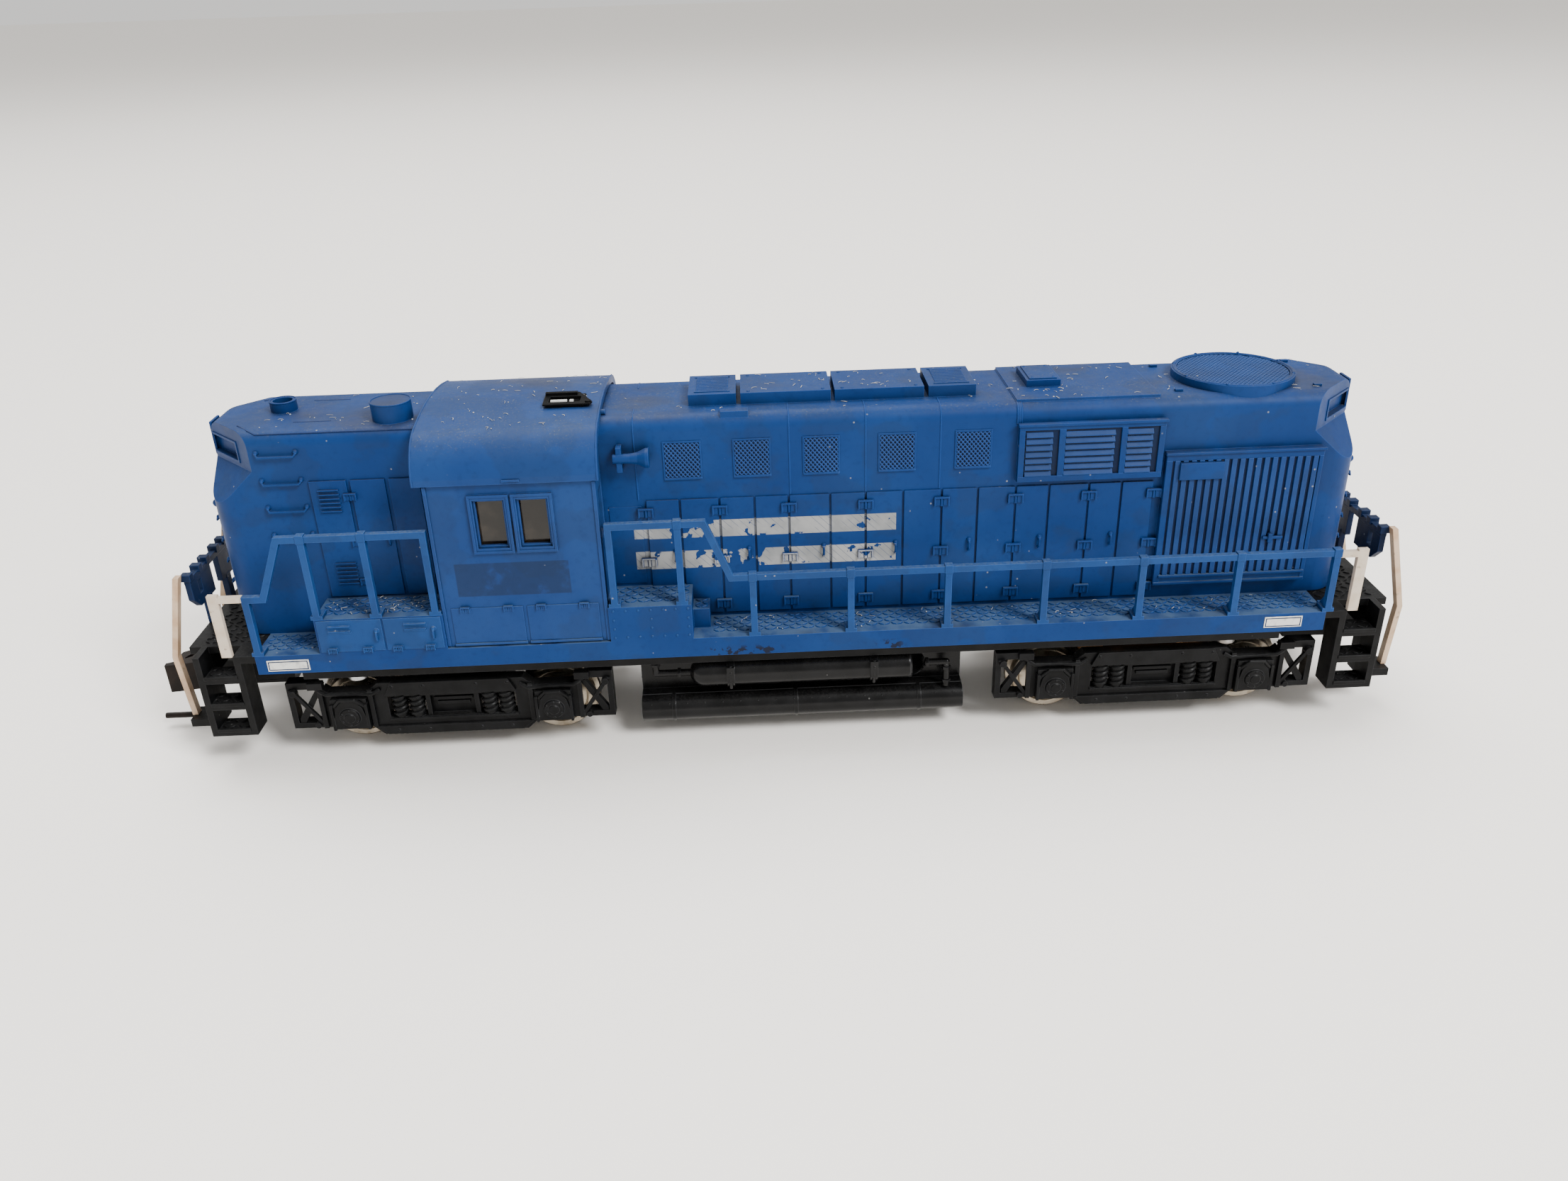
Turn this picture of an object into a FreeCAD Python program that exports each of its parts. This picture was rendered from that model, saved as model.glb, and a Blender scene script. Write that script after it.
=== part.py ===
import FreeCAD, Part
import Sketcher
import math
import os
import re

# Model diesel locomotive, road-switcher type, for 16.5 mm gauge track.
# Frame: millimetres, +X towards the long-hood end, +Z up, origin on the table
# under the middle of the body, at the bottom of the wheel flanges.

doc = FreeCAD.newDocument("Locomotive")

DIMENSIONS = [
    ("sill_length", 167.5, "length of the body sill"),
    ("sill_width", 35.0, "width over the sills"),
    ("sill_bottom", 17.5, "underside of the sill"),
    ("deck_top", 20.7, "top of the walkway"),
    ("deck_skin", 1.2, "thickness of the walkway"),
    ("wall", 1.2, "wall of the hood mouldings"),
    ("hood_width", 20.0, "width of both hoods"),
    ("hood_top", 54.2, "top of both hoods"),
    ("hood_end", 88.8, "distance of the hood ends from the middle"),
    ("hood_edge_radius", 2.2, "rounding along the hood roof"),
    ("hood_corner_radius", 4.4, "rounding of the upright hood corners"),
    ("corner_cut", 8.1, "plan size of the cut for a number board"),
    ("corner_cut_bottom", 48.2, "height at which the cut starts to slope outwards"),
    ("corner_slope", 0.78, "outward run of that slope for each millimetre down"),
    ("board_height", 50.6, "middle of the number boards"),
    ("cab_rear", -53.95, "cab wall on the short-hood side"),
    ("cab_front", -28.65, "cab wall on the long-hood side"),
    ("cab_width", 34.0, "width over the cab walls"),
    ("cab_eave", 48.6, "height at which the cab roof starts to curve"),
    ("cab_wall", 0.9, "thickness of the cab walls"),
    ("roof_top", 55.1, "crown of the cab roof under its skin"),
    ("window_bottom", 37.3, "lower edge of the side windows"),
    ("window_top", 45.1, "upper edge of the side windows"),
    ("window_width", 4.7, "width of one side window"),
    ("rail_top", 31.3, "top of the long side rails"),
    ("high_rail_top", 40.5, "top of the rails beside the cab"),
    ("rail_size", 1.0, "thickness of the rails and posts"),
    ("post_pitch", 15.04, "distance between rail posts"),
    ("last_post", 84.0, "last rail post at the long-hood end"),
    ("step_bottom", 6.2, "underside of the corner steps"),
    ("step_rise", 4.8, "height from tread to tread"),
    ("step_inner", 86.9, "inner side plate of the corner steps"),
    ("step_outer", 93.1, "outer side plate of the corner steps"),
    ("platform_end", 95.5, "end of the end platforms"),
    ("platform_top", 20.5, "top of the end platforms"),
    ("grab_top", 31.2, "top of the corner grab irons"),
    ("front_truck", 58.5, "pivot of the power truck"),
    ("rear_truck", -55.5, "pivot of the trailing truck"),
    ("wheelbase", 32.7, "distance between the axles of a truck"),
    ("tread_radius", 5.83, "running radius of the wheels"),
    ("flange_radius", 6.7, "radius of the wheel flanges"),
    ("wheel_back", 7.2, "inner face of a wheel from the middle"),
    ("wheel_face", 9.95, "outer face of a wheel from the middle"),
    ("axle_radius", 1.2, "radius of the axles"),
    ("running_gap", 0.05, "radial clearance of turning fits"),
    ("frame_outer", 14.5, "outer face of the side frames"),
    ("frame_inner", 12.4, "inner face of the side frames"),
    ("gear_module", 0.5, "module of all gears"),
    ("axle_teeth", 18, "teeth of the axle gears"),
    ("idler_teeth", 20, "teeth of the idler gears"),
    ("small_teeth", 12, "teeth of the small reduction gear"),
    ("large_teeth", 30, "teeth of the large reduction gear"),
    ("pinion_teeth", 10, "teeth of the motor pinion"),
    ("cluster_height", 10.5, "axis of the reduction gear"),
    ("gear_wall", 3.1, "first gear plane, from the middle"),
    ("pin_radius", 0.75, "radius of the gear pins"),
    ("shaft_radius", 0.76, "radius of the motor shaft"),
    ("motor_radius", 8.5, "radius of the motor"),
    ("turntable_radius", 12.8, "radius of the power truck turntable"),
    ("underframe_bottom", 15.0, "underside of the chassis plate"),
    ("underframe_top", 17.4, "top of the chassis plate"),
    ("tank_rear", -25.15, "end of the fuel tank"),
    ("tank_front", 27.35, "other end of the fuel tank"),
    ("tank_bottom", 3.2, "underside of the fuel tank"),
    ("reservoir_radius", 2.35, "radius of the air reservoirs"),
    ("coupler_height", 9.85, "middle height of the couplers"),
]

sheet = doc.addObject("Spreadsheet::Sheet", "dims")
for row, (alias, value, note) in enumerate(DIMENSIONS, start=1):
    sheet.set(f"A{row}", alias)
    sheet.set(f"B{row}", str(value))
    sheet.set(f"C{row}", note)
    sheet.setAlias(f"B{row}", alias)
doc.recompute()

SIZE = {alias: float(value) for alias, value, note in DIMENSIONS}
WORD = re.compile(r"[a-z]+(?:_[a-z]+)*")
nodes = {}


def expression(text):
    """An expression in which every alias of the sheet is a reference to its cell."""
    return WORD.sub(lambda found: "dims." + found[0] if found[0] in SIZE else found[0], str(text))


def bind(thing, path, text):
    """Tie one property of a document object to sizes in the sheet."""
    thing.setExpression(path, expression(text))


def minus(text):
    """The opposite of a number or of an expression."""
    return f"-({text})"


def keep(thing, name):
    """Give a finished sub-part its name."""
    thing.Label = name
    nodes[name] = thing
    return thing


# ------------------------------------------------------------------ plain solids

AXIS_TURN = {
    "x": FreeCAD.Rotation(FreeCAD.Vector(0, 1, 0), 90),
    "y": FreeCAD.Rotation(FreeCAD.Vector(1, 0, 0), -90),
    "z": FreeCAD.Rotation(),
}


def place(thing, x, y, z):
    """Bind the position of an object."""
    for axis, text in (("x", x), ("y", y), ("z", z)):
        bind(thing, "Placement.Base." + axis, text)
    return thing


def block(x, y, z):
    """Box between three pairs of limits."""
    box = doc.addObject("Part::Box", "Block")
    for side, (low, high) in (("Length", x), ("Width", y), ("Height", z)):
        bind(box, side, f"({high}) - ({low})")
    return place(box, x[0], y[0], z[0])


def rod(axis, radius, start, length):
    """Cylinder along an axis, from the middle of its low end."""
    cylinder = doc.addObject("Part::Cylinder", "Rod")
    cylinder.Placement = FreeCAD.Placement(FreeCAD.Vector(), AXIS_TURN[axis])
    bind(cylinder, "Radius", radius)
    bind(cylinder, "Height", length)
    return place(cylinder, *start)


def ball(radius, centre):
    """Sphere about a point."""
    sphere = doc.addObject("Part::Sphere", "Ball")
    bind(sphere, "Radius", radius)
    return place(sphere, *centre)


def fuse(*parts):
    """One solid made of several."""
    joined = doc.addObject("Part::MultiFuse", "Fuse")
    joined.Shapes = list(parts)
    joined.Refine = True
    return joined


def cut(base, *tools):
    """A solid with others taken away."""
    result = doc.addObject("Part::Cut", "Cut")
    result.Base = base
    result.Tool = tools[0] if len(tools) == 1 else fuse(*tools)
    return result


def group(*parts):
    """Several separate solids in one sub-part."""
    together = doc.addObject("Part::Compound", "Group")
    together.Links = list(parts)
    return together


def both_sides(make):
    """The two copies of a piece; make takes the side or the end, -1 or 1."""
    return [make(side) for side in (-1, 1)]


def span(side, inner, outer):
    """Limits between two distances from the middle plane, on one side of it."""
    if side > 0:
        return (inner, outer)
    return (minus(outer), minus(inner))


# ------------------------------------------------------------- sketched solids

def origin_feature(body, role):
    """One of the origin planes or axes of a body."""
    return [item for item in body.Origin.OriginFeatures if item.Role == role][0]


def outline_sketch(body, plane, corners):
    """Closed outline on an origin plane; each corner is tied to the sheet."""
    sketch = body.newObject("Sketcher::SketchObject", "Outline")
    sketch.AttachmentSupport = [(origin_feature(body, plane), "")]
    sketch.MapMode = "FlatFace"
    count = len(corners)
    start = []
    for i in range(count):
        angle = 2 * math.pi * i / count
        start.append(FreeCAD.Vector(10 * math.cos(angle), 10 * math.sin(angle), 0))
    for i in range(count):
        sketch.addGeometry(Part.LineSegment(start[i], start[(i + 1) % count]))
    for i in range(count):
        sketch.addConstraint(Sketcher.Constraint("Coincident", i, 2, (i + 1) % count, 1))
    for i, (across, up) in enumerate(corners):
        for kind, text, now in (("DistanceX", across, start[i].x), ("DistanceY", up, start[i].y)):
            index = sketch.addConstraint(Sketcher.Constraint(kind, -1, 1, i, 1, now))
            bind(sketch, f"Constraints[{index}]", text)
    return sketch


def outline_body(plane, corners, length, middle):
    """Outline padded equally to both sides of its plane, then moved along the normal."""
    body = doc.addObject("PartDesign::Body", "Profile")
    pad = body.newObject("PartDesign::Pad", "Pad")
    pad.Profile = outline_sketch(body, plane, corners)
    pad.Midplane = True
    bind(pad, "Length", length)
    normal = {"YZ_Plane": "x", "XZ_Plane": "y", "XY_Plane": "z"}[plane]
    bind(body, "Placement.Base." + normal, middle)
    return body


def turned(corners, x, y, z):
    """Solid of revolution about an axis along Y; corners are (along, radius)."""
    body = doc.addObject("PartDesign::Body", "Turned")
    sketch = outline_sketch(body, "YZ_Plane", corners)
    turn = body.newObject("PartDesign::Revolution", "Revolution")
    turn.Profile = sketch
    turn.ReferenceAxis = (sketch, ["H_Axis"])
    turn.Angle = 360
    place(body, x, y, z)
    return body


def pitch_radius(teeth):
    """Pitch radius of a gear, in millimetres."""
    return SIZE["gear_module"] * SIZE[teeth] / 2


def gear(teeth, bore, width):
    """Spur gear about Y from y = 0 to its width, with one tooth along +X.

    The flanks are straight, as on a small moulded gear, and thin enough to
    leave backlash.
    """
    body = doc.addObject("PartDesign::Body", "Gear")
    module = SIZE["gear_module"]
    pitch = pitch_radius(teeth)
    root = pitch - 1.15 * module
    tip = pitch + 0.85 * module
    disc = body.newObject("Sketcher::SketchObject", "Disc")
    disc.AttachmentSupport = [(origin_feature(body, "XZ_Plane"), "")]
    disc.MapMode = "FlatFace"
    upright = FreeCAD.Vector(0, 0, 1)
    disc.addGeometry(Part.Circle(FreeCAD.Vector(), upright, root))
    disc.addGeometry(Part.Circle(FreeCAD.Vector(), upright, root / 2))
    disc.addConstraint(Sketcher.Constraint("Coincident", 0, 3, -1, 1))
    disc.addConstraint(Sketcher.Constraint("Coincident", 1, 3, -1, 1))
    sizes = (f"gear_module * ({teeth} / 2 - 1.15)", bore)
    for i, text in enumerate(sizes):
        index = disc.addConstraint(Sketcher.Constraint("Radius", i, disc.Geometry[i].Radius))
        bind(disc, f"Constraints[{index}]", text)
    hub = body.newObject("PartDesign::Pad", "Hub")
    hub.Profile = disc
    hub.Reversed = True
    bind(hub, "Length", width)
    tooth = body.newObject("Sketcher::SketchObject", "Tooth")
    tooth.AttachmentSupport = [(origin_feature(body, "XZ_Plane"), "")]
    tooth.MapMode = "FlatFace"
    corners = [
        (root - 0.2 * module, 0.88 * module),
        (root, 0.88 * module),
        (pitch, 0.68 * module),
        (tip, 0.28 * module),
    ]
    corners += [(across, -up) for across, up in reversed(corners)]
    points = [FreeCAD.Vector(across, up, 0) for across, up in corners]
    for i, point in enumerate(points):
        tooth.addGeometry(Part.LineSegment(point, points[(i + 1) % len(points)]))
    ridge = body.newObject("PartDesign::Pad", "Ridge")
    ridge.Profile = tooth
    ridge.Reversed = True
    bind(ridge, "Length", width)
    pattern = body.newObject("PartDesign::PolarPattern", "Teeth")
    pattern.Originals = [ridge]
    pattern.Axis = (origin_feature(body, "Y_Axis"), [""])
    pattern.Angle = 360
    bind(pattern, "Occurrences", teeth)
    body.Tip = pattern
    return body


# --------------------------------------------------------------- the body shell

def upright_edges(shape, tall):
    """Names of the vertical straight edges of at least a given height."""
    names = []
    for i, edge in enumerate(shape.Edges, start=1):
        ends = edge.BoundBox
        if ends.ZLength > tall and ends.XLength < 0.01 and ends.YLength < 0.01:
            names.append(f"Edge{i}")
    return names


def roof_edges(shape):
    """Names of the long straight edges along X at the top of a solid."""
    top = shape.BoundBox.ZMax
    names = []
    for i, edge in enumerate(shape.Edges, start=1):
        ends = edge.BoundBox
        if ends.XLength > 5 and ends.ZMin > top - 0.01 and ends.YLength < 0.01:
            names.append(f"Edge{i}")
    return names


def hood(inner_end, side, inset, top, bottom):
    """Hood block from the cab to one end of the body, smaller all round by the inset."""
    body = doc.addObject("PartDesign::Body", "Hood")
    half = f"hood_width / 2 - {inset}"
    outer_end = f"{side} * (hood_end - {inset})"
    sketch = outline_sketch(body, "XY_Plane", [
        (inner_end, minus(half)),
        (outer_end, minus(half)),
        (outer_end, half),
        (inner_end, half),
    ])
    pad = body.newObject("PartDesign::Pad", "Pad")
    pad.Profile = sketch
    bind(pad, "Length", f"{top} - ({bottom})")
    bind(body, "Placement.Base.z", bottom)
    doc.recompute()
    corners = body.newObject("PartDesign::Fillet", "Corners")
    ends = []
    for name in upright_edges(pad.Shape, 5):
        if abs(pad.Shape.getElement(name).BoundBox.XMin * side) > 80:
            ends.append(name)
    corners.Base = (pad, ends)
    bind(corners, "Radius", f"hood_corner_radius - {inset} / 2")
    doc.recompute()
    roof = body.newObject("PartDesign::Fillet", "Roof")
    roof.Base = (corners, roof_edges(corners.Shape))
    bind(roof, "Radius", f"hood_edge_radius - {inset} / 2")
    return body


def common(first, second):
    """The space that two solids share."""
    shared = doc.addObject("Part::MultiCommon", "Common")
    shared.Shapes = [first, second]
    return shared


def across_corner(solid, side, across):
    """Turn a solid so that its +X points out through a corner of the hood, and set it
    on the middle of the corner cut."""
    angle = math.degrees(math.atan2(across, side))
    holder = doc.addObject("Part::Compound", "Turned")
    holder.Links = [solid]
    turn = FreeCAD.Rotation(FreeCAD.Vector(0, 0, 1), angle)
    holder.Placement = FreeCAD.Placement(FreeCAD.Vector(), turn)
    return place(holder, f"{side} * (hood_end - corner_cut / 2)",
                 f"{across} * (hood_width / 2 - corner_cut / 2)", "0")


def corner_cut(side, across):
    """All that lies outside the upright and the sloping face of a cut hood corner."""
    outside = outline_body("XZ_Plane", [
        ("0", "corner_cut_bottom"),
        ("0", "hood_top + 2"),
        ("7", "hood_top + 2"),
        ("7", "corner_cut_bottom - 7 / corner_slope"),
    ], "20", "0")
    return across_corner(outside, side, across)


def corner_wall(side, across):
    """Wall behind both faces of a cut hood corner, inside the outline of the hood."""
    lower = "corner_cut_bottom - 4.2 / corner_slope"
    slab = outline_body("XZ_Plane", [
        ("0", "corner_cut_bottom"),
        ("0", "hood_top - 0.4"),
        ("-wall", "hood_top - 0.4"),
        ("-wall", "corner_cut_bottom - 0.2"),
        ("4.2 - wall", lower),
        ("4.2", lower),
    ], "20", "0")
    inner_end = "cab_front" if side > 0 else "cab_rear"
    outline = hood(inner_end, side, "0.05", "hood_top", "deck_top")
    return common(across_corner(slab, side, across), outline)


def board_slot(side, across):
    """Recess for a number board, open towards the end of the hood."""
    shift = "2.0" if side * across < 0 else "-2.0"
    slot = block(("-0.9", "1"), (f"{shift} - 4.0", f"{shift} + 4.0"),
                 ("board_height - 1.35", "board_height + 1.35"))
    return across_corner(slot, side, across)


SMALL_STACK = ("-78.1", "1.0")
LARGE_STACK = ("-59.8", "-5.0")
LAMP_HEIGHTS = ("49.8", "52.2")
HATCHES = [("-14.95", "-7.65"), ("-6.95", "6.85"), ("7.45", "21.15"), ("21.85", "29.15")]


def make_body_shell():
    """One moulding: walkway, sills, both hoods and everything moulded on them."""
    half = "sill_width / 2"
    end = "sill_length / 2"
    solids = [block((minus(end), end), (minus(half), half), ("deck_top - deck_skin", "deck_top"))]
    for side in (-1, 1):
        sill = span(side, f"{half} - 1.2", half)
        solids.append(block((minus(end), end), sill, ("sill_bottom", "deck_top - deck_skin")))
    solids.append(hood("cab_front", 1, "0", "hood_top", "deck_top"))
    solids.append(hood("cab_rear", -1, "0", "hood_top", "deck_top"))
    for low, high in HATCHES:
        solids.append(block((low, high), ("-4.93", "4.93"), ("hood_top - 0.2", "56.0")))
    solids.append(block(("34.7", "56.6"), ("-8.6", "8.6"), ("hood_top - 0.2", "hood_top + 0.3")))
    solids.append(block(("37.4", "42.7"), ("-2.8", "5.2"), ("hood_top", "55.6")))
    solids.append(block(("-10.1", "-5.9"), ("-9.3", "-7.6"), ("53.0", "54.6")))
    solids.append(rod("z", "2.02", (*SMALL_STACK, "hood_top - 0.3"), "1.9"))
    solids.append(rod("z", "3.03", (*LARGE_STACK, "hood_top - 0.3"), "3.1"))
    for side in (-1, 1):
        wall_face = "hood_width / 2"
        louvres = span(side, f"{wall_face} - 0.2", f"{wall_face} + 0.7")
        solids.append(block(("34.9", "57.0"), louvres, ("42.0", "51.2")))
        shutter = span(side, f"{wall_face} - 0.2", f"{wall_face} + 0.9")
        solids.append(block(("57.8", "82.2"), shutter, ("23.4", "45.9")))
        battery = span(side, f"{wall_face} - 1", half)
        solids.append(block(("-73.6", "cab_rear"), battery, ("deck_top - 0.2", "26.6")))
        riser = span(side, f"{wall_face} - 1", half)
        solids.append(block(("cab_front", "-15.8"), riser, ("deck_top - 0.2", "26.6")))
        step = span(side, f"{wall_face} - 1", "14.0")
        solids.append(block(("-15.9", "-13.2"), step, ("deck_top - 0.2", "24.0")))
        for x in ("-70", "70"):
            boss = span(side, "11.4", "15.0")
            solids.append(block((f"{x} - 1.8", f"{x} + 1.8"), boss,
                                ("underframe_top", "deck_top - deck_skin")))
    tools = []
    inner_top = "hood_top - wall"
    tools.append(hood("cab_front - 1", 1, "wall", inner_top, "underframe_top - 3"))
    tools.append(hood("cab_rear + 1", -1, "wall", inner_top, "underframe_top - 3"))
    tools.append(block(("cab_rear - 1", "cab_front + 1"), ("-8.8", "8.8"),
                       ("underframe_top - 3", "deck_top + 1")))
    for side in (-1, 1):
        for across in (-1, 1):
            tools.append(rod("z", "0.85", (f"{side} * 70", f"{across} * 13.2", "sill_bottom - 1"), "2.6"))
        hidden = span(side, "8.8", f"{half} - 1.2")
        tools.append(block(("-72.4", "cab_rear"), hidden, ("deck_top - 0.3", "25.4")))
        tools.append(block(("cab_front", "-17.0"), hidden, ("deck_top - 0.3", "25.4")))
    tools.append(rod("z", "1.5", (*SMALL_STACK, "hood_top + 0.2"), "4"))
    corner_cuts = []
    corner_walls = []
    openings = []
    for side in (-1, 1):
        for across in (-1, 1):
            corner_cuts.append(corner_cut(side, across))
            corner_walls.append(corner_wall(side, across))
            openings.append(board_slot(side, across))
        start = "hood_end - wall - 1" if side > 0 else "-(hood_end + 1)"
        for height in LAMP_HEIGHTS:
            openings.append(rod("x", "0.9", (start, "0", height), "wall + 2"))
    shell = cut(fuse(*solids), *tools, *corner_cuts)
    keep(cut(fuse(shell, *corner_walls), *openings), "body_shell")


def roof_profile(lower, inset):
    """Section of the cab: straight walls under an arched roof, smaller by the inset."""
    wall_y = SIZE["cab_width"] / 2 - inset
    eave = SIZE["cab_eave"]
    crown = SIZE["roof_top"] - inset
    shoulder = FreeCAD.Vector(0, 12.0 - inset / 2, crown - 1.3)
    knee = FreeCAD.Vector(0, 15.7 - inset * 0.85, crown - 3.9)
    start = FreeCAD.Vector(0, wall_y, eave)
    mirrored = [FreeCAD.Vector(0, -point.y, point.z) for point in (shoulder, knee, start)]
    floor_far = FreeCAD.Vector(0, wall_y, lower)
    floor_near = FreeCAD.Vector(0, -wall_y, lower)
    return Part.Face(Part.Wire([
        Part.LineSegment(floor_far, start).toShape(),
        Part.Arc(start, knee, shoulder).toShape(),
        Part.Arc(shoulder, FreeCAD.Vector(0, 0, crown), mirrored[0]).toShape(),
        Part.Arc(mirrored[0], mirrored[1], mirrored[2]).toShape(),
        Part.LineSegment(mirrored[2], floor_near).toShape(),
        Part.LineSegment(floor_near, floor_far).toShape(),
    ]))


def roof_skin(outer, inner):
    """Section of the overhanging roof alone."""
    eave = SIZE["cab_eave"]
    section = roof_profile(eave - 0.95, outer)
    return section.cut(roof_profile(eave - 2, inner))


def extruded(face, low, high):
    """Face in the YZ plane drawn out along X between two distances."""
    moved = face.translated(FreeCAD.Vector(low, 0, 0))
    solid = doc.addObject("Part::Feature", "Extruded")
    solid.Shape = moved.extrude(FreeCAD.Vector(high - low, 0, 0))
    return solid


def make_cab():
    """Cab moulding with its roof, window openings and window frames."""
    rear = SIZE["cab_rear"]
    front = SIZE["cab_front"]
    wall = SIZE["cab_wall"]
    deck = SIZE["deck_top"] + 0.1
    walls = extruded(roof_profile(deck, 0), rear, front)
    roof = extruded(roof_skin(-0.7, 0.3), rear - 1.3, front + 0.6)
    hollow = extruded(roof_profile(deck - 1, wall), rear + wall, front - wall)
    openings = []
    frames = []
    sides = "cab_width / 2"
    for side in (-1, 1):
        for middle in ("-44.6", "-38.2"):
            low = f"{middle} - window_width / 2"
            high = f"{middle} + window_width / 2"
            frames.append(block((f"{low} - 0.7", f"{high} + 0.7"),
                                span(side, f"{sides} - 0.3", f"{sides} + 0.35"),
                                ("window_bottom - 0.8", "window_top + 0.8")))
            openings.append(block((low, high), span(side, f"{sides} - 2", f"{sides} + 1"),
                                  ("window_bottom", "window_top")))
        for end in ("cab_rear", "cab_front"):
            openings.append(block((f"{end} - 2", f"{end} + 2"), span(side, "11.2", "15.4"),
                                  ("window_bottom", "window_top")))
        end_slot = span(side, "hood_width / 2 + 0.9", f"{sides} - 0.6")
        openings.append(block(("cab_front - 0.5", "cab_front + 1"), end_slot, ("27", "27.3")))
    passage = block(("cab_rear - 1", "cab_front + 1"), ("-8.8", "8.8"), ("deck_top - 1", "50.5"))
    bracket_hole = block(("-36.4", "-30.6"), ("-6.8", "-1.6"), ("54.0", "58.0"))
    cab = cut(fuse(walls, roof, *frames), hollow, passage, bracket_hole, *openings)
    keep(cab, "cab")


def make_cab_glazing():
    """Smoky panes behind the cab windows."""
    panes = []
    inner = "cab_width / 2 - cab_wall - 0.05"
    tall = ("window_bottom - 0.9", "window_top + 0.5")
    for side in (-1, 1):
        panes.append(block(("-47.9", "-34.9"), span(side, f"{inner} - 0.4", inner), tall))
        across = span(side, "10.6", "15.2")
        rear_face = "cab_rear + cab_wall + 0.05"
        front_face = "cab_front - cab_wall - 0.05"
        panes.append(block((rear_face, f"{rear_face} + 0.4"), across, tall))
        panes.append(block((f"{front_face} - 0.4", front_face), across, tall))
    keep(group(*panes), "cab_window_glazing")


def make_roof_details():
    """Bracket in the cab roof, the horn, the fan grille, the lenses and the lamp."""
    plug = block(("-36.3", "-30.7"), ("-6.7", "-1.7"), ("54.3", "55.9"))
    flange = outline_body("XY_Plane", [
        ("-36.7", "-7.2"), ("-29.6", "-7.2"), ("-29.3", "-6.3"), ("-31.7", "-1.3"), ("-36.9", "-1.3"),
    ], "0.25", "55.95")
    well = block(("-36.0", "-31.2"), ("-6.2", "-3.4"), ("55.5", "56.4"))
    bridge = block(("-36.7", "-31.8"), ("-3.2", "-2.5"), ("56.0", "56.6"))
    knob = rod("z", "0.45", ("-29.9", "-6.7", "56.0"), "0.4")
    keep(cut(fuse(plug, flange, bridge, knob), well), "roof_horn_bracket")
    horn_z = "48.65"
    bell = turned([("0", "0"), ("0", "1.55"), ("0.5", "1.5"), ("1.7", "0.95"), ("2.8", "0.76"),
                   ("5.4", "0.7"), ("5.4", "0")], "0", "0", "0")
    bell.Placement = FreeCAD.Placement(FreeCAD.Vector(), FreeCAD.Rotation(FreeCAD.Vector(0, 0, 1), 90))
    place(bell, "-21.0", "-11.7", horn_z)
    foot = block(("-25.9", "-25.1"), ("-12.0", "-10.0"), (f"{horn_z} - 2.1", f"{horn_z} + 1.75"))
    keep(fuse(bell, foot), "side_horn")
    fan = cut(rod("z", "9.33", ("70.55", "0", "hood_top - 1.8"), "3.0"),
              rod("z", "8.5", ("70.55", "0", "hood_top + 0.7"), "1"),
              hood("cab_front", 1, "0", "hood_top", "deck_top"))
    keep(fan, "radiator_fan_grille")
    lenses = []
    for side in (-1, 1):
        start = "hood_end - wall - 0.3" if side > 0 else "-(hood_end + 0.2)"
        for height in LAMP_HEIGHTS:
            lenses.append(rod("x", "0.88", (start, "0", height), "wall + 0.5"))
    keep(group(*lenses), "headlight_lenses")
    bulb = fuse(rod("x", "1.5", ("79.5", "0", "49.0"), "4"), ball("1.5", ("83.5", "0", "49.0")))
    keep(bulb, "headlight_bulb")
    arm = block(("78.2", "79.4"), ("-2", "2"), ("44.0", "51.0"))
    stem = block(("74.0", "79.4"), ("-2", "2"), ("43.2", "44.0"))
    leg = block(("73.2", "74.0"), ("-2", "2"), ("underframe_top", "44.0"))
    keep(fuse(arm, stem, leg), "lamp_bracket")


# ------------------------------------------------------- rails, grabs and steps

def slope(y_limits, x_low, z_low, x_high, z_high, thick):
    """Bar in an upright lengthwise plane between two points."""
    mid_y = f"(({y_limits[0]}) + ({y_limits[1]})) / 2"
    depth = f"({y_limits[1]}) - ({y_limits[0]})"
    half = f"{thick} / 2"
    return outline_body("XZ_Plane", [
        (f"{x_low} - {half}", z_low),
        (f"{x_low} + {half}", z_low),
        (f"{x_high} + {half}", z_high),
        (f"{x_high} - {half}", z_high),
    ], depth, mid_y)


def post(side, x, top, bottom):
    """Rail post with its foot on the walkway."""
    edge = "sill_width / 2"
    half = "rail_size / 2"
    upright = block((f"{x} - {half}", f"{x} + {half}"), span(side, f"{edge} - rail_size", edge),
                    (bottom, top))
    foot = block((f"{x} - 0.9", f"{x} + 0.9"), span(side, f"{edge} - 2.2", edge),
                 (bottom, f"{bottom} + 0.6"))
    return [upright, foot]


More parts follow.
